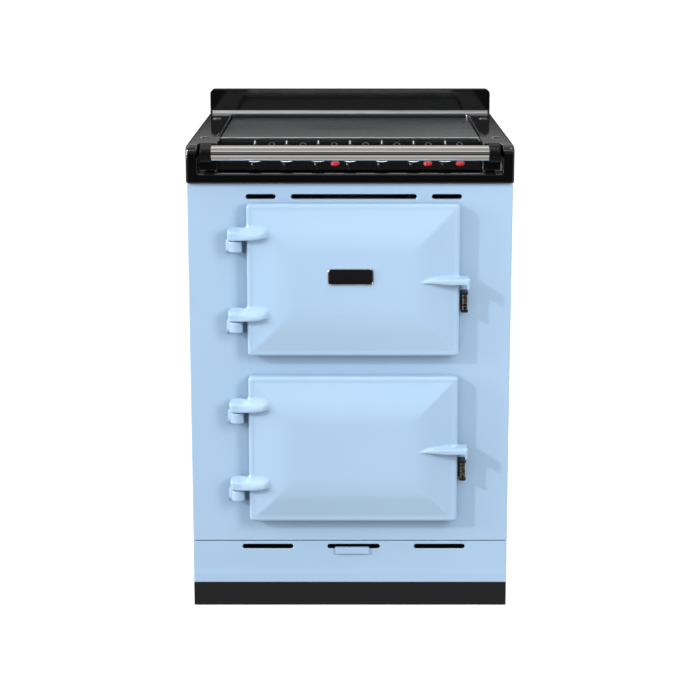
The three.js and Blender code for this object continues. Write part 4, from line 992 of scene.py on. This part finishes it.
dish_finish = blank_material("dish_fibre", (0.62, 0.60, 0.55), 0.95, slot="dull_steel")
bumped(dish_finish, noise(dish_finish, 500, 4), 0.0006)
coil_finish = blank_material("heater_coil", (0.16, 0.14, 0.125), 0.45, 1.0, slot="dull_steel")
tinted(coil_finish, noise(coil_finish, 300), (0.10, 0.085, 0.075), (0.24, 0.21, 0.19))
spiral, given = growing("heater_spiral", Turns="Float", Inner="Float", Outer="Float", Wire="Float")
curve = shape(spiral, "CurveSpiral", Resolution=28, Rotations=given["Turns"],
              Start_Radius=given["Inner"], End_Radius=given["Outer"], Height=0.0)
ended(spiral, wire(spiral, curve, given["Wire"], 8))
for end in ("front", "rear"):
    for hand in ("left", "right"):
        low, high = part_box(f"hob_element_{end}_{hand}")
        middle = (low + high) / 2
        radius = (high.x - low.x) / 2
        well = low.z + DISH_FLOOR
        profile = [(0, low.z), (radius - 2 * MM, low.z), (radius, low.z + 2 * MM),
                   (radius, high.z - 1 * MM), (radius - 1 * MM, high.z), (radius - DISH_WALL, high.z),
                   (radius - DISH_WALL - 2 * MM, well), (0, well)]
        dish = turned(f"heater_dish_{end}_{hand}", profile, at(middle.x, middle.y), 56)
        finished(dish, "cabinet", dish_finish, f"hob_element_{end}_{hand}")
        seat = at(middle.x, middle.y, well + COIL_WIRE)
        grown(f"heater_coil_{end}_{hand}", spiral, seat, "cabinet", coil_finish, Turns=COIL_TURNS,
              Inner=12 * MM, Outer=radius - 12 * MM, Wire=COIL_WIRE)

# ---- control panel ----------------------------------------------------------------------------
# An enamelled sheet slopes up from the lip. It carries seven moulded knobs, each beside its printed
# ring, and three red neon lamps pushed in from the front; the switches hang behind it.
PANEL_SLOPE = math.radians(23.25)
PANEL_THICK = 3 * MM
KNOB_BASE = 16.0                  # in millimetres, as the next ones
KNOB_SKIRT = 6.0
KNOB_GRIP = 12.3
KNOB_GRIP_TOP = 14.0
KNOB_FIN = 3.1                    # half its thickness
KNOB_FIN_LENGTH = 14.6            # half its length
KNOB_FIN_TOP = 25.2
KNOB_LIFT = 0.7
KNOB_UP = 48.4
LAMP_UP = 21.0
KNOB_GRAIN = 0.8
RING_UP = 93.5 * MM
RING_RADIUS = 5.6 * MM
RING_LINE = 0.5 * MM
BEZEL_RADIUS = 19.4 * MM          # thin bright ring round each knob's skirt
BEZEL_LINE = 1.4 * MM
KNOB_PITCH = 59 * MM
KNOBS = 7
MIDDLE_KNOB = 4

low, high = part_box("control_fascia")
panel_foot = Vector((0, low.y, low.z + PANEL_THICK * math.cos(PANEL_SLOPE)))
panel = Matrix.Translation(panel_foot) @ Matrix.Rotation(PANEL_SLOPE, 4, "X")
black_sheet = enamel("black_enamelled_sheet", (0.0012, 0.0012, 0.0014), (0.0020, 0.0020, 0.0024),
                     0.00004, 16, (0.05, 0.09), 0)
softened("control_fascia", "control_panel", 0.7 * MM, "cabinet", black_sheet, 3)
dress(zinc_finish, "switch_bank")

knob_finish = blank_material("knob_black", (0.006, 0.006, 0.0065), 0.12, Coat_Weight=0.2)
bumped(knob_finish, noise(knob_finish, 500), 0.00001)
roughened(knob_finish, noise(knob_finish, 90, 3), 0.08, 0.2)
# A pale line along each fin's crest is a painted highlight for the fin's bright edge.
fin_highlight_finish = blank_material("white_mark", (0.56, 0.57, 0.58), 0.35, slot="knob_black")
tinted(fin_highlight_finish, noise(fin_highlight_finish, 400), (0.50, 0.51, 0.52), (0.62, 0.63, 0.64))


def knob_surface(number):
    """A knob on the sloping panel: a skirt, a grip and a fin along its middle, run together."""
    inverse = panel.inverted()
    turn_x = (number - MIDDLE_KNOB) * KNOB_PITCH / MM

    def surface(across, out, up):
        back = FRONT_Y / MM - out - panel_foot.y / MM
        height = up - panel_foot.z / MM
        u = across - turn_x
        v = inverse[1][1] * back + inverse[1][2] * height - KNOB_UP
        w = inverse[2][1] * back + inverse[2][2] * height - KNOB_LIFT
        reach = np.hypot(u, v)
        skirt = corner_round(reach - KNOB_BASE + 0.12 * w, np.maximum(w - KNOB_SKIRT, -w), 1.6)
        grip = corner_round(reach - KNOB_GRIP + 0.06 * w, np.maximum(w - KNOB_GRIP_TOP, -w), 1.6)
        along = np.maximum(np.abs(v) - KNOB_FIN_LENGTH + KNOB_FIN, 0)
        fin = np.hypot(u, along) - KNOB_FIN + 0.02 * w
        fin = corner_round(fin, np.maximum(w - KNOB_FIN_TOP, 1 - w), 1.3)
        body = run_together(run_together(skirt, grip, 1.5), fin, 1.8)
        stem = np.maximum(np.hypot(u, v) - 3, np.maximum(-19.5 - w, w - 2))
        return np.minimum(body, stem)
    return surface


for number in range(1, KNOBS + 1):
    rough = merged(f"control_knob_{number}")
    moulding = cast_to(f"knob_{number}_moulding", rough, KNOB_GRAIN, knob_surface(number), 6)
    finished(moulding, f"knob_{number}", knob_finish, f"control_knob_{number}")
    x = (number - MIDDLE_KNOB) * KNOB_PITCH
    # The fin's painted highlight line.
    line = rounded_outline(x - 0.7 * MM, x + 0.7 * MM, KNOB_UP * MM + 1 * MM,
                           KNOB_UP * MM + (KNOB_FIN_LENGTH - 1.2) * MM, 0.6 * MM, 3)
    on_fin = panel @ at(z=(KNOB_LIFT + KNOB_FIN_TOP - 0.1) * MM)
    fin_highlight_line = flat_piece(f"knob_{number}_pointer", [line], 0.5 * MM, 0.1 * MM, on_fin)
    fitted(fin_highlight_line, f"knob_{number}", fin_highlight_finish)

print_finish = blank_material("grey_print", (0.10, 0.10, 0.105), 0.3, slot="black_enamelled_sheet")
tinted(print_finish, noise(print_finish, 600), (0.07, 0.07, 0.075), (0.14, 0.14, 0.145))
bezel_finish = blank_material("bezel_chrome", (0.80, 0.80, 0.80), 0.34, 1.0, slot="polished_steel")
roughened(bezel_finish, noise(bezel_finish, 400), 0.28, 0.4)
rings, given = growing("ring_row", Count="Int", Pitch="Float", Radius="Float", Line="Float")
span = output(rings, "ShaderNodeCombineXYZ", X=given["Pitch"])
points = shape(rings, "MeshLine", {"mode": "OFFSET"}, Count=given["Count"], Offset=span)
circle = shape(rings, "CurvePrimitiveCircle", Radius=given["Radius"], Resolution=48)
ring = wire(rings, circle, given["Line"], 8)
flat = shape(rings, "Transform", Geometry=ring, Scale=(1, 1, 0.4))
row = shape(rings, "InstanceOnPoints", Points=points, Instance=flat)
ended(rings, row)
first = panel @ at(-2.5 * KNOB_PITCH, RING_UP)
grown("ring_marks", rings, first, "cabinet", print_finish, Count=KNOBS, Pitch=KNOB_PITCH, Radius=RING_RADIUS,
      Line=RING_LINE)
first = panel @ at(-3 * KNOB_PITCH, KNOB_UP * MM)
grown("knob_bezels", rings, first, "cabinet", bezel_finish, Count=KNOBS, Pitch=KNOB_PITCH,
      Radius=BEZEL_RADIUS, Line=BEZEL_LINE)

# The lamps are unlit; the lenses' faint emission is a painted glow.
red_glow_finish = blank_material("neon_red", (0.36, 0.006, 0.012), 0.08, Coat_Weight=0.2,
                            Emission_Color=(1, 0.03, 0.04, 1), Emission_Strength=0.03)
place = node(red_glow_finish.node_tree, "ShaderNodeTexCoord").outputs["Object"]
cells = node(red_glow_finish.node_tree, "ShaderNodeTexVoronoi", Vector=place, Scale=420).outputs["Distance"]
bumped(red_glow_finish, cells, 0.0003)
for number in (1, 2, 3):
    low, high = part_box(f"neon_lens_{number}")
    profile = [(0, -9.9 * MM), (6.8 * MM, -9.9 * MM), (6.9 * MM, 0.3 * MM), (8.4 * MM, 0.3 * MM),
               (8.5 * MM, 1.1 * MM), (8.2 * MM, 1.5 * MM), (7.2 * MM, 1.7 * MM)]
    for angle in np.linspace(0, math.pi / 2 - 0.12, 9):
        profile.append((7 * MM * math.cos(angle), (1.9 + 2.6 * math.sin(angle)) * MM))
    lens = turned(f"lens_{number}", profile + [(0, 4.5 * MM)],
                  panel @ at((low.x + high.x) / 2, LAMP_UP * MM, 0), 48)
    finished(lens, "cabinet", red_glow_finish, f"neon_lens_{number}")

# ---- hand rail --------------------------------------------------------------------------------
# A polished steel tube hangs in front of the top, each end held in a socket of black casting.
RAIL_END = 1.2 * MM
SOCKET_WIDTH = 20.0               # in millimetres, as the next ones
SOCKET_WALL = 2.2
SOCKET_EDGE = 1.4
SOCKET_GRAIN = 1.0

rail_finish = blank_material("polished_steel", (0.74, 0.72, 0.68), 0.08, 1.0)
brushed = noise(rail_finish, 900, 2, (0.01, 1, 1))
roughened(rail_finish, brushed, 0.02, 0.05)
tinted(rail_finish, brushed, (0.70, 0.68, 0.64), (0.78, 0.765, 0.73))
low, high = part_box("hand_rail")
middle = (low + high) / 2
radius = (high.z - low.z) / 2
half = (high.x - low.x) / 2
rail = turned("rail_bar", rounded_profile(radius, -half, half, RAIL_END),
              Matrix.Translation(middle) @ Matrix.Rotation(math.pi / 2, 4, "Y"), 96)
finished(rail, "cabinet", rail_finish, "hand_rail")


def socket_surface(middle_x, inner, rail_out, rail_up, rail_radius, foot_out):
    """A cup round the rail's end, open on its inner side, with an arm that runs back to the top."""
    def surface(across, out, up):
        reach = np.hypot(out - rail_out, up - rail_up)
        slab = np.abs(across - middle_x) - SOCKET_WIDTH / 2
        cup = corner_round(reach - rail_radius - SOCKET_WALL, slab, SOCKET_EDGE)
        tall = np.abs(up - rail_up + 3.4) - 10.2
        arm = corner_round(np.abs(across - middle_x) - SOCKET_WIDTH / 2 + 1.2, tall, 2.5)
        arm = np.maximum(arm, np.maximum(foot_out - out, out - rail_out))
        body = run_together(cup, arm, 3)
        bore = np.maximum(reach - rail_radius - 0.3, (across - middle_x) * -inner - SOCKET_WIDTH / 2 + 16)
        return np.maximum(body, -bore)
    return surface


socket_finish = blank_material("socket_black", (0.0012, 0.0012, 0.0014), 0.4, Specular_IOR_Level=0.16,
                               slot="black_enamelled_cast_iron")
bumped(socket_finish, noise(socket_finish, 260), 0.00004)
for hand, inner in (("left", 1), ("right", -1)):
    low_end, high_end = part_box(f"{hand}_rail_bracket")
    form = socket_surface((low_end.x + high_end.x) / 2 / MM, inner, (FRONT_Y - middle.y) / MM, middle.z / MM,
                          radius / MM, (FRONT_Y - high_end.y) / MM)
    socket = cast_to(f"{hand}_socket", merged(f"{hand}_rail_bracket"), SOCKET_GRAIN, form)
    finished(socket, "cabinet", socket_finish, f"{hand}_rail_bracket")

# ---- ovens ------------------------------------------------------------------------------------
# Two pressed steel boxes under speckled black enamel, with pressed runners for a chromed wire
# shelf, lie in mineral wool. The upper one has a bent grill element, the lower one a fan.
OVEN_EDGE = 1.0 * MM
SHELF_WIRE = 2.5 * MM
SHELF_FRAME = 8 * MM              # corner of the shelf's frame
SHELF_WIRES = 11
GRILL_PASSES = 4
GRILL_TURN = 44 * MM
FAN_BLADES = 8
FAN_DISC = 18.5                   # in front of the wheel's back, in millimetres
BLADE_THICK = 1.5 * MM
BLADE_DEPTH = 17.5 * MM
BLADE_BOW = 30 * MM
BLADE_SWEEP = math.radians(62)
MOTOR_RIBS = 9

oven_finish = blank_material("oven_enamel", (0.012, 0.013, 0.016), 0.3)
speck = noise(oven_finish, 900, 1)
tinted(oven_finish, speck, (0.010, 0.011, 0.014), (0.16, 0.17, 0.2), 0.66, 0.74)
bumped(oven_finish, noise(oven_finish, 300), 0.00006)
wool_finish = blank_material("mineral_wool", (0.42, 0.36, 0.22), 0.95)
tufts = noise(wool_finish, 120, 6, (1, 1, 3))
tinted(wool_finish, tufts, (0.30, 0.25, 0.14), (0.52, 0.46, 0.30))
bumped(wool_finish, tufts, 0.003)
chrome_finish = blank_material("shelf_chrome", (0.62, 0.62, 0.63), 0.14, 1.0)
roughened(chrome_finish, noise(chrome_finish, 200, 4), 0.08, 0.24)
dress(wool_finish, "oven_insulation")

rack, given = growing("wire_shelf", Width="Float", Depth="Float", Wire="Float", Corner="Float", Wires="Int")
border = shape(rack, "CurvePrimitiveQuadrilateral", Width=given["Width"], Height=given["Depth"])
border = shape(rack, "FilletCurve", {"mode": "POLY"}, Curve=border, Radius=given["Corner"], Count=6)
edge_wire = wire(rack, border, given["Wire"])
half_depth = reckoned(rack, "MULTIPLY", given["Depth"], 0.5)
minus_depth = reckoned(rack, "MULTIPLY", given["Depth"], -0.5)
start = output(rack, "ShaderNodeCombineXYZ", Y=minus_depth)
stop = output(rack, "ShaderNodeCombineXYZ", Y=half_depth)
straight = shape(rack, "CurvePrimitiveLine", Start=start, End=stop)
thin = reckoned(rack, "MULTIPLY", given["Wire"], 0.72)
long_wire = wire(rack, straight, thin)
more = reckoned(rack, "ADD", given["Wires"], 1.0)
pitch = reckoned(rack, "DIVIDE", given["Width"], more)
minus_width = reckoned(rack, "MULTIPLY", given["Width"], -0.5)
first = reckoned(rack, "ADD", minus_width, pitch)
row_start = output(rack, "ShaderNodeCombineXYZ", X=first)
row_step = output(rack, "ShaderNodeCombineXYZ", X=pitch)
row = shape(rack, "MeshLine", {"mode": "OFFSET"}, Count=given["Wires"], Offset=row_step,
            Start_Location=row_start)
wires = shape(rack, "InstanceOnPoints", Points=row, Instance=long_wire)
whole = node(rack, "GeometryNodeJoinGeometry", Geometry=edge_wire)
rack.links.new(wires, whole.inputs[0])
ended(rack, whole.outputs[0])
for oven in ("upper", "lower"):
    softened(f"{oven}_oven_cavity", f"{oven}_oven_box", OVEN_EDGE, "cabinet", oven_finish, 2)
    low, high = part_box(f"{oven}_oven_shelf")
    size = high - low
    shelf = grown(f"{oven}_wire_shelf", rack, Matrix.Translation((low + high) / 2), "cabinet",
                  chrome_finish, Width=size.x - 2 * SHELF_WIRE, Depth=size.y - 2 * SHELF_WIRE,
                  Wire=SHELF_WIRE, Corner=SHELF_FRAME, Wires=SHELF_WIRES)
    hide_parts(f"{oven}_oven_shelf")

# The grill's tube runs to and fro below the upper oven's roof.
low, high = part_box("grill_element")
tube_radius = (high.z - low.z) / 2
pitch = (high.x - low.x - 2 * tube_radius) / (GRILL_PASSES - 1)
middle_z = (low.z + high.z) / 2
near = low.y + tube_radius + GRILL_TURN
far = high.y - GRILL_TURN - 2 * tube_radius
path = [(low.x + tube_radius, high.y, middle_z)]
for i in range(GRILL_PASSES - 1):
    bend_x = low.x + tube_radius + (i + 0.5) * pitch
    bend_y = near if i % 2 == 0 else far
    turn = -1 if i % 2 == 0 else 1
    for angle in np.linspace(math.pi, 0, 15):
        x = bend_x + pitch / 2 * math.cos(angle)
        path.append((x, bend_y + turn * GRILL_TURN * math.sin(angle), middle_z))
path.append((high.x - tube_radius, high.y, middle_z))
curve = bpy.data.curves.new("grill_tube", "CURVE")
curve.dimensions = "3D"
curve.bevel_depth = tube_radius
curve.bevel_resolution = 4
curve.use_fill_caps = True
tube = smooth(linked("grill_tube", drawn("grill_tube", curve, [path], False)))
tube_finish = blank_material("burnt_tube", (0.12, 0.11, 0.11), 0.4, 1.0, slot="heating_steel")
tinted(tube_finish, noise(tube_finish, 60, 4), (0.07, 0.065, 0.07), (0.20, 0.17, 0.15))
finished(tube, "cabinet", tube_finish, "grill_element")

# The fan's wheel turns in front of the lower oven's back wall, below a pressed baffle.
low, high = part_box("oven_fan")
middle = (low + high) / 2
tip = (high.x - low.x) / 2
profile = [(0, 0), (6, 0), (11.5, 1.2), (14, 4.5), (14, 17), (17, FAN_DISC), (tip / MM - 1, FAN_DISC),
           (tip / MM, 19.2), (tip / MM - 1, 20), (4, 20), (4, 41.2), (0, 41.2)]
wheel = turned("fan_wheel", [(radius * MM, up * MM) for radius, up in profile],
               at(middle.x, low.y, middle.z) @ backwards, 64)
finished(wheel, "fan", steel_finish, "oven_fan")
vanes, given = growing("fan_blades", Count="Int", Tip="Float", Bow="Float", Sweep="Float", Thick="Float",
                       Deep="Float")
arc = shape(vanes, "CurveArc", {"mode": "RADIUS"}, Resolution=14, Radius=given["Bow"],
            Sweep_Angle=given["Sweep"])
section = shape(vanes, "CurvePrimitiveQuadrilateral", Width=given["Thick"], Height=given["Deep"])
vane = shape(vanes, "CurveToMesh", Curve=arc, Profile_Curve=section, Fill_Caps=True)
inward = reckoned(vanes, "SUBTRACT", given["Tip"], given["Bow"])
out_by = output(vanes, "ShaderNodeCombineXYZ", X=inward)
vane = shape(vanes, "Transform", Geometry=vane, Translation=out_by)
count = shape(vanes, "Points", Count=given["Count"])
index = shape(vanes, "InputIndex")
step = reckoned(vanes, "DIVIDE", 2 * math.pi, given["Count"])
turn = reckoned(vanes, "MULTIPLY", index, step)
turned_by = output(vanes, "ShaderNodeCombineXYZ", Z=turn)
ring = shape(vanes, "InstanceOnPoints", Points=count, Instance=vane, Rotation=turned_by)
ended(vanes, ring)
below_disc = at(middle.x, low.y + FAN_DISC * MM - BLADE_DEPTH / 2, middle.z) @ backwards
grown("fan_blades", vanes, below_disc, "fan", steel_finish, Count=FAN_BLADES, Tip=tip - 2 * MM,
      Bow=BLADE_BOW, Sweep=BLADE_SWEEP, Thick=BLADE_THICK, Deep=BLADE_DEPTH)
softened("fan_baffle", "baffle", 0.8 * MM, "cabinet", oven_finish, 2)
low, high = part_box("fan_motor")
middle = (low + high) / 2
profile = [(0, 23.2), (4.3, 23.2), (4.3, 0), (33, 0), (34, 1), (34, 3.2), (33, 4), (30, 4)]
for rib in range(MOTOR_RIBS):
    start = 6 + rib * 3.6
    profile += [(29, start), (29, start + 1.6), (32, start + 2), (32, start + 3)]
profile += [(30, 41), (27, 45), (24, 45.9), (0, 45.9)]
motor = turned("motor_can", [(radius * MM, up * MM) for radius, up in profile],
               at(middle.x, low.y, middle.z) @ backwards, 48)
finished(motor, "cabinet", zinc_finish, "fan_motor")

# ---- inside the doors -------------------------------------------------------------------------
# A pressed and enamelled pan closes each door's back over a slab of wool. A braided glass rope
# round it seals against the plate.
LINER_EDGE = 1.8 * MM
ROPE_TWIST = 9 * MM               # length of one turn of the braid
ROPE_STEPS = 7
ROPE_RADIUS = 4 * MM
ROPE_CORNER = 9 * MM

seal_finish = blank_material("rope_seal", (0.16, 0.15, 0.135), 0.9)
tinted(seal_finish, noise(seal_finish, 260, 3), (0.12, 0.11, 0.10), (0.22, 0.21, 0.19))
bumped(seal_finish, noise(seal_finish, 1500, 3), 0.0004)
rope, given = growing("rope", Width="Float", Height="Float", Corner="Float", Thick="Float", Count="Int",
                      Turn="Float")
line = shape(rope, "CurvePrimitiveQuadrilateral", Width=given["Width"], Height=given["Height"])
line = shape(rope, "FilletCurve", {"mode": "POLY"}, Curve=line, Radius=given["Corner"], Count=10)
line = shape(rope, "ResampleCurve", Curve=line, Count=given["Count"])
index = shape(rope, "InputIndex")
tilt = reckoned(rope, "MULTIPLY", index, given["Turn"])
line = shape(rope, "SetCurveTilt", Curve=line, Tilt=tilt)
waist = reckoned(rope, "MULTIPLY", given["Thick"], 0.72)
strands = shape(rope, "CurveStar", Points=4, Inner_Radius=waist, Outer_Radius=given["Thick"])
ended(rope, shape(rope, "CurveToMesh", Curve=line, Profile_Curve=strands))
for oven in ("upper", "lower"):
    body = f"{oven}_oven_door"
    softened(f"{oven}_door_liner", f"{oven}_liner", LINER_EDGE, body, oven_finish, 3)
    dress(wool_finish, f"{oven}_door_insulation")
    low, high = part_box(f"{oven}_door_seal")
    size = high - low
    length = 2 * (size.x + size.z) - 8 * ROPE_RADIUS
    turns = round(length / ROPE_TWIST)
    flat = Matrix.Diagonal((1, 1, size.y / (2 * ROPE_RADIUS), 1))
    place = Matrix.Translation((low + high) / 2) @ Matrix.Rotation(math.pi / 2, 4, "X") @ flat
    seal = grown(f"{oven}_seal_rope", rope, place, body, seal_finish, Width=size.x - 2 * ROPE_RADIUS,
                 Height=size.z - 2 * ROPE_RADIUS, Corner=ROPE_CORNER, Thick=ROPE_RADIUS,
                 Count=turns * ROPE_STEPS, Turn=2 * math.pi / ROPE_STEPS)
    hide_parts(f"{oven}_door_seal")
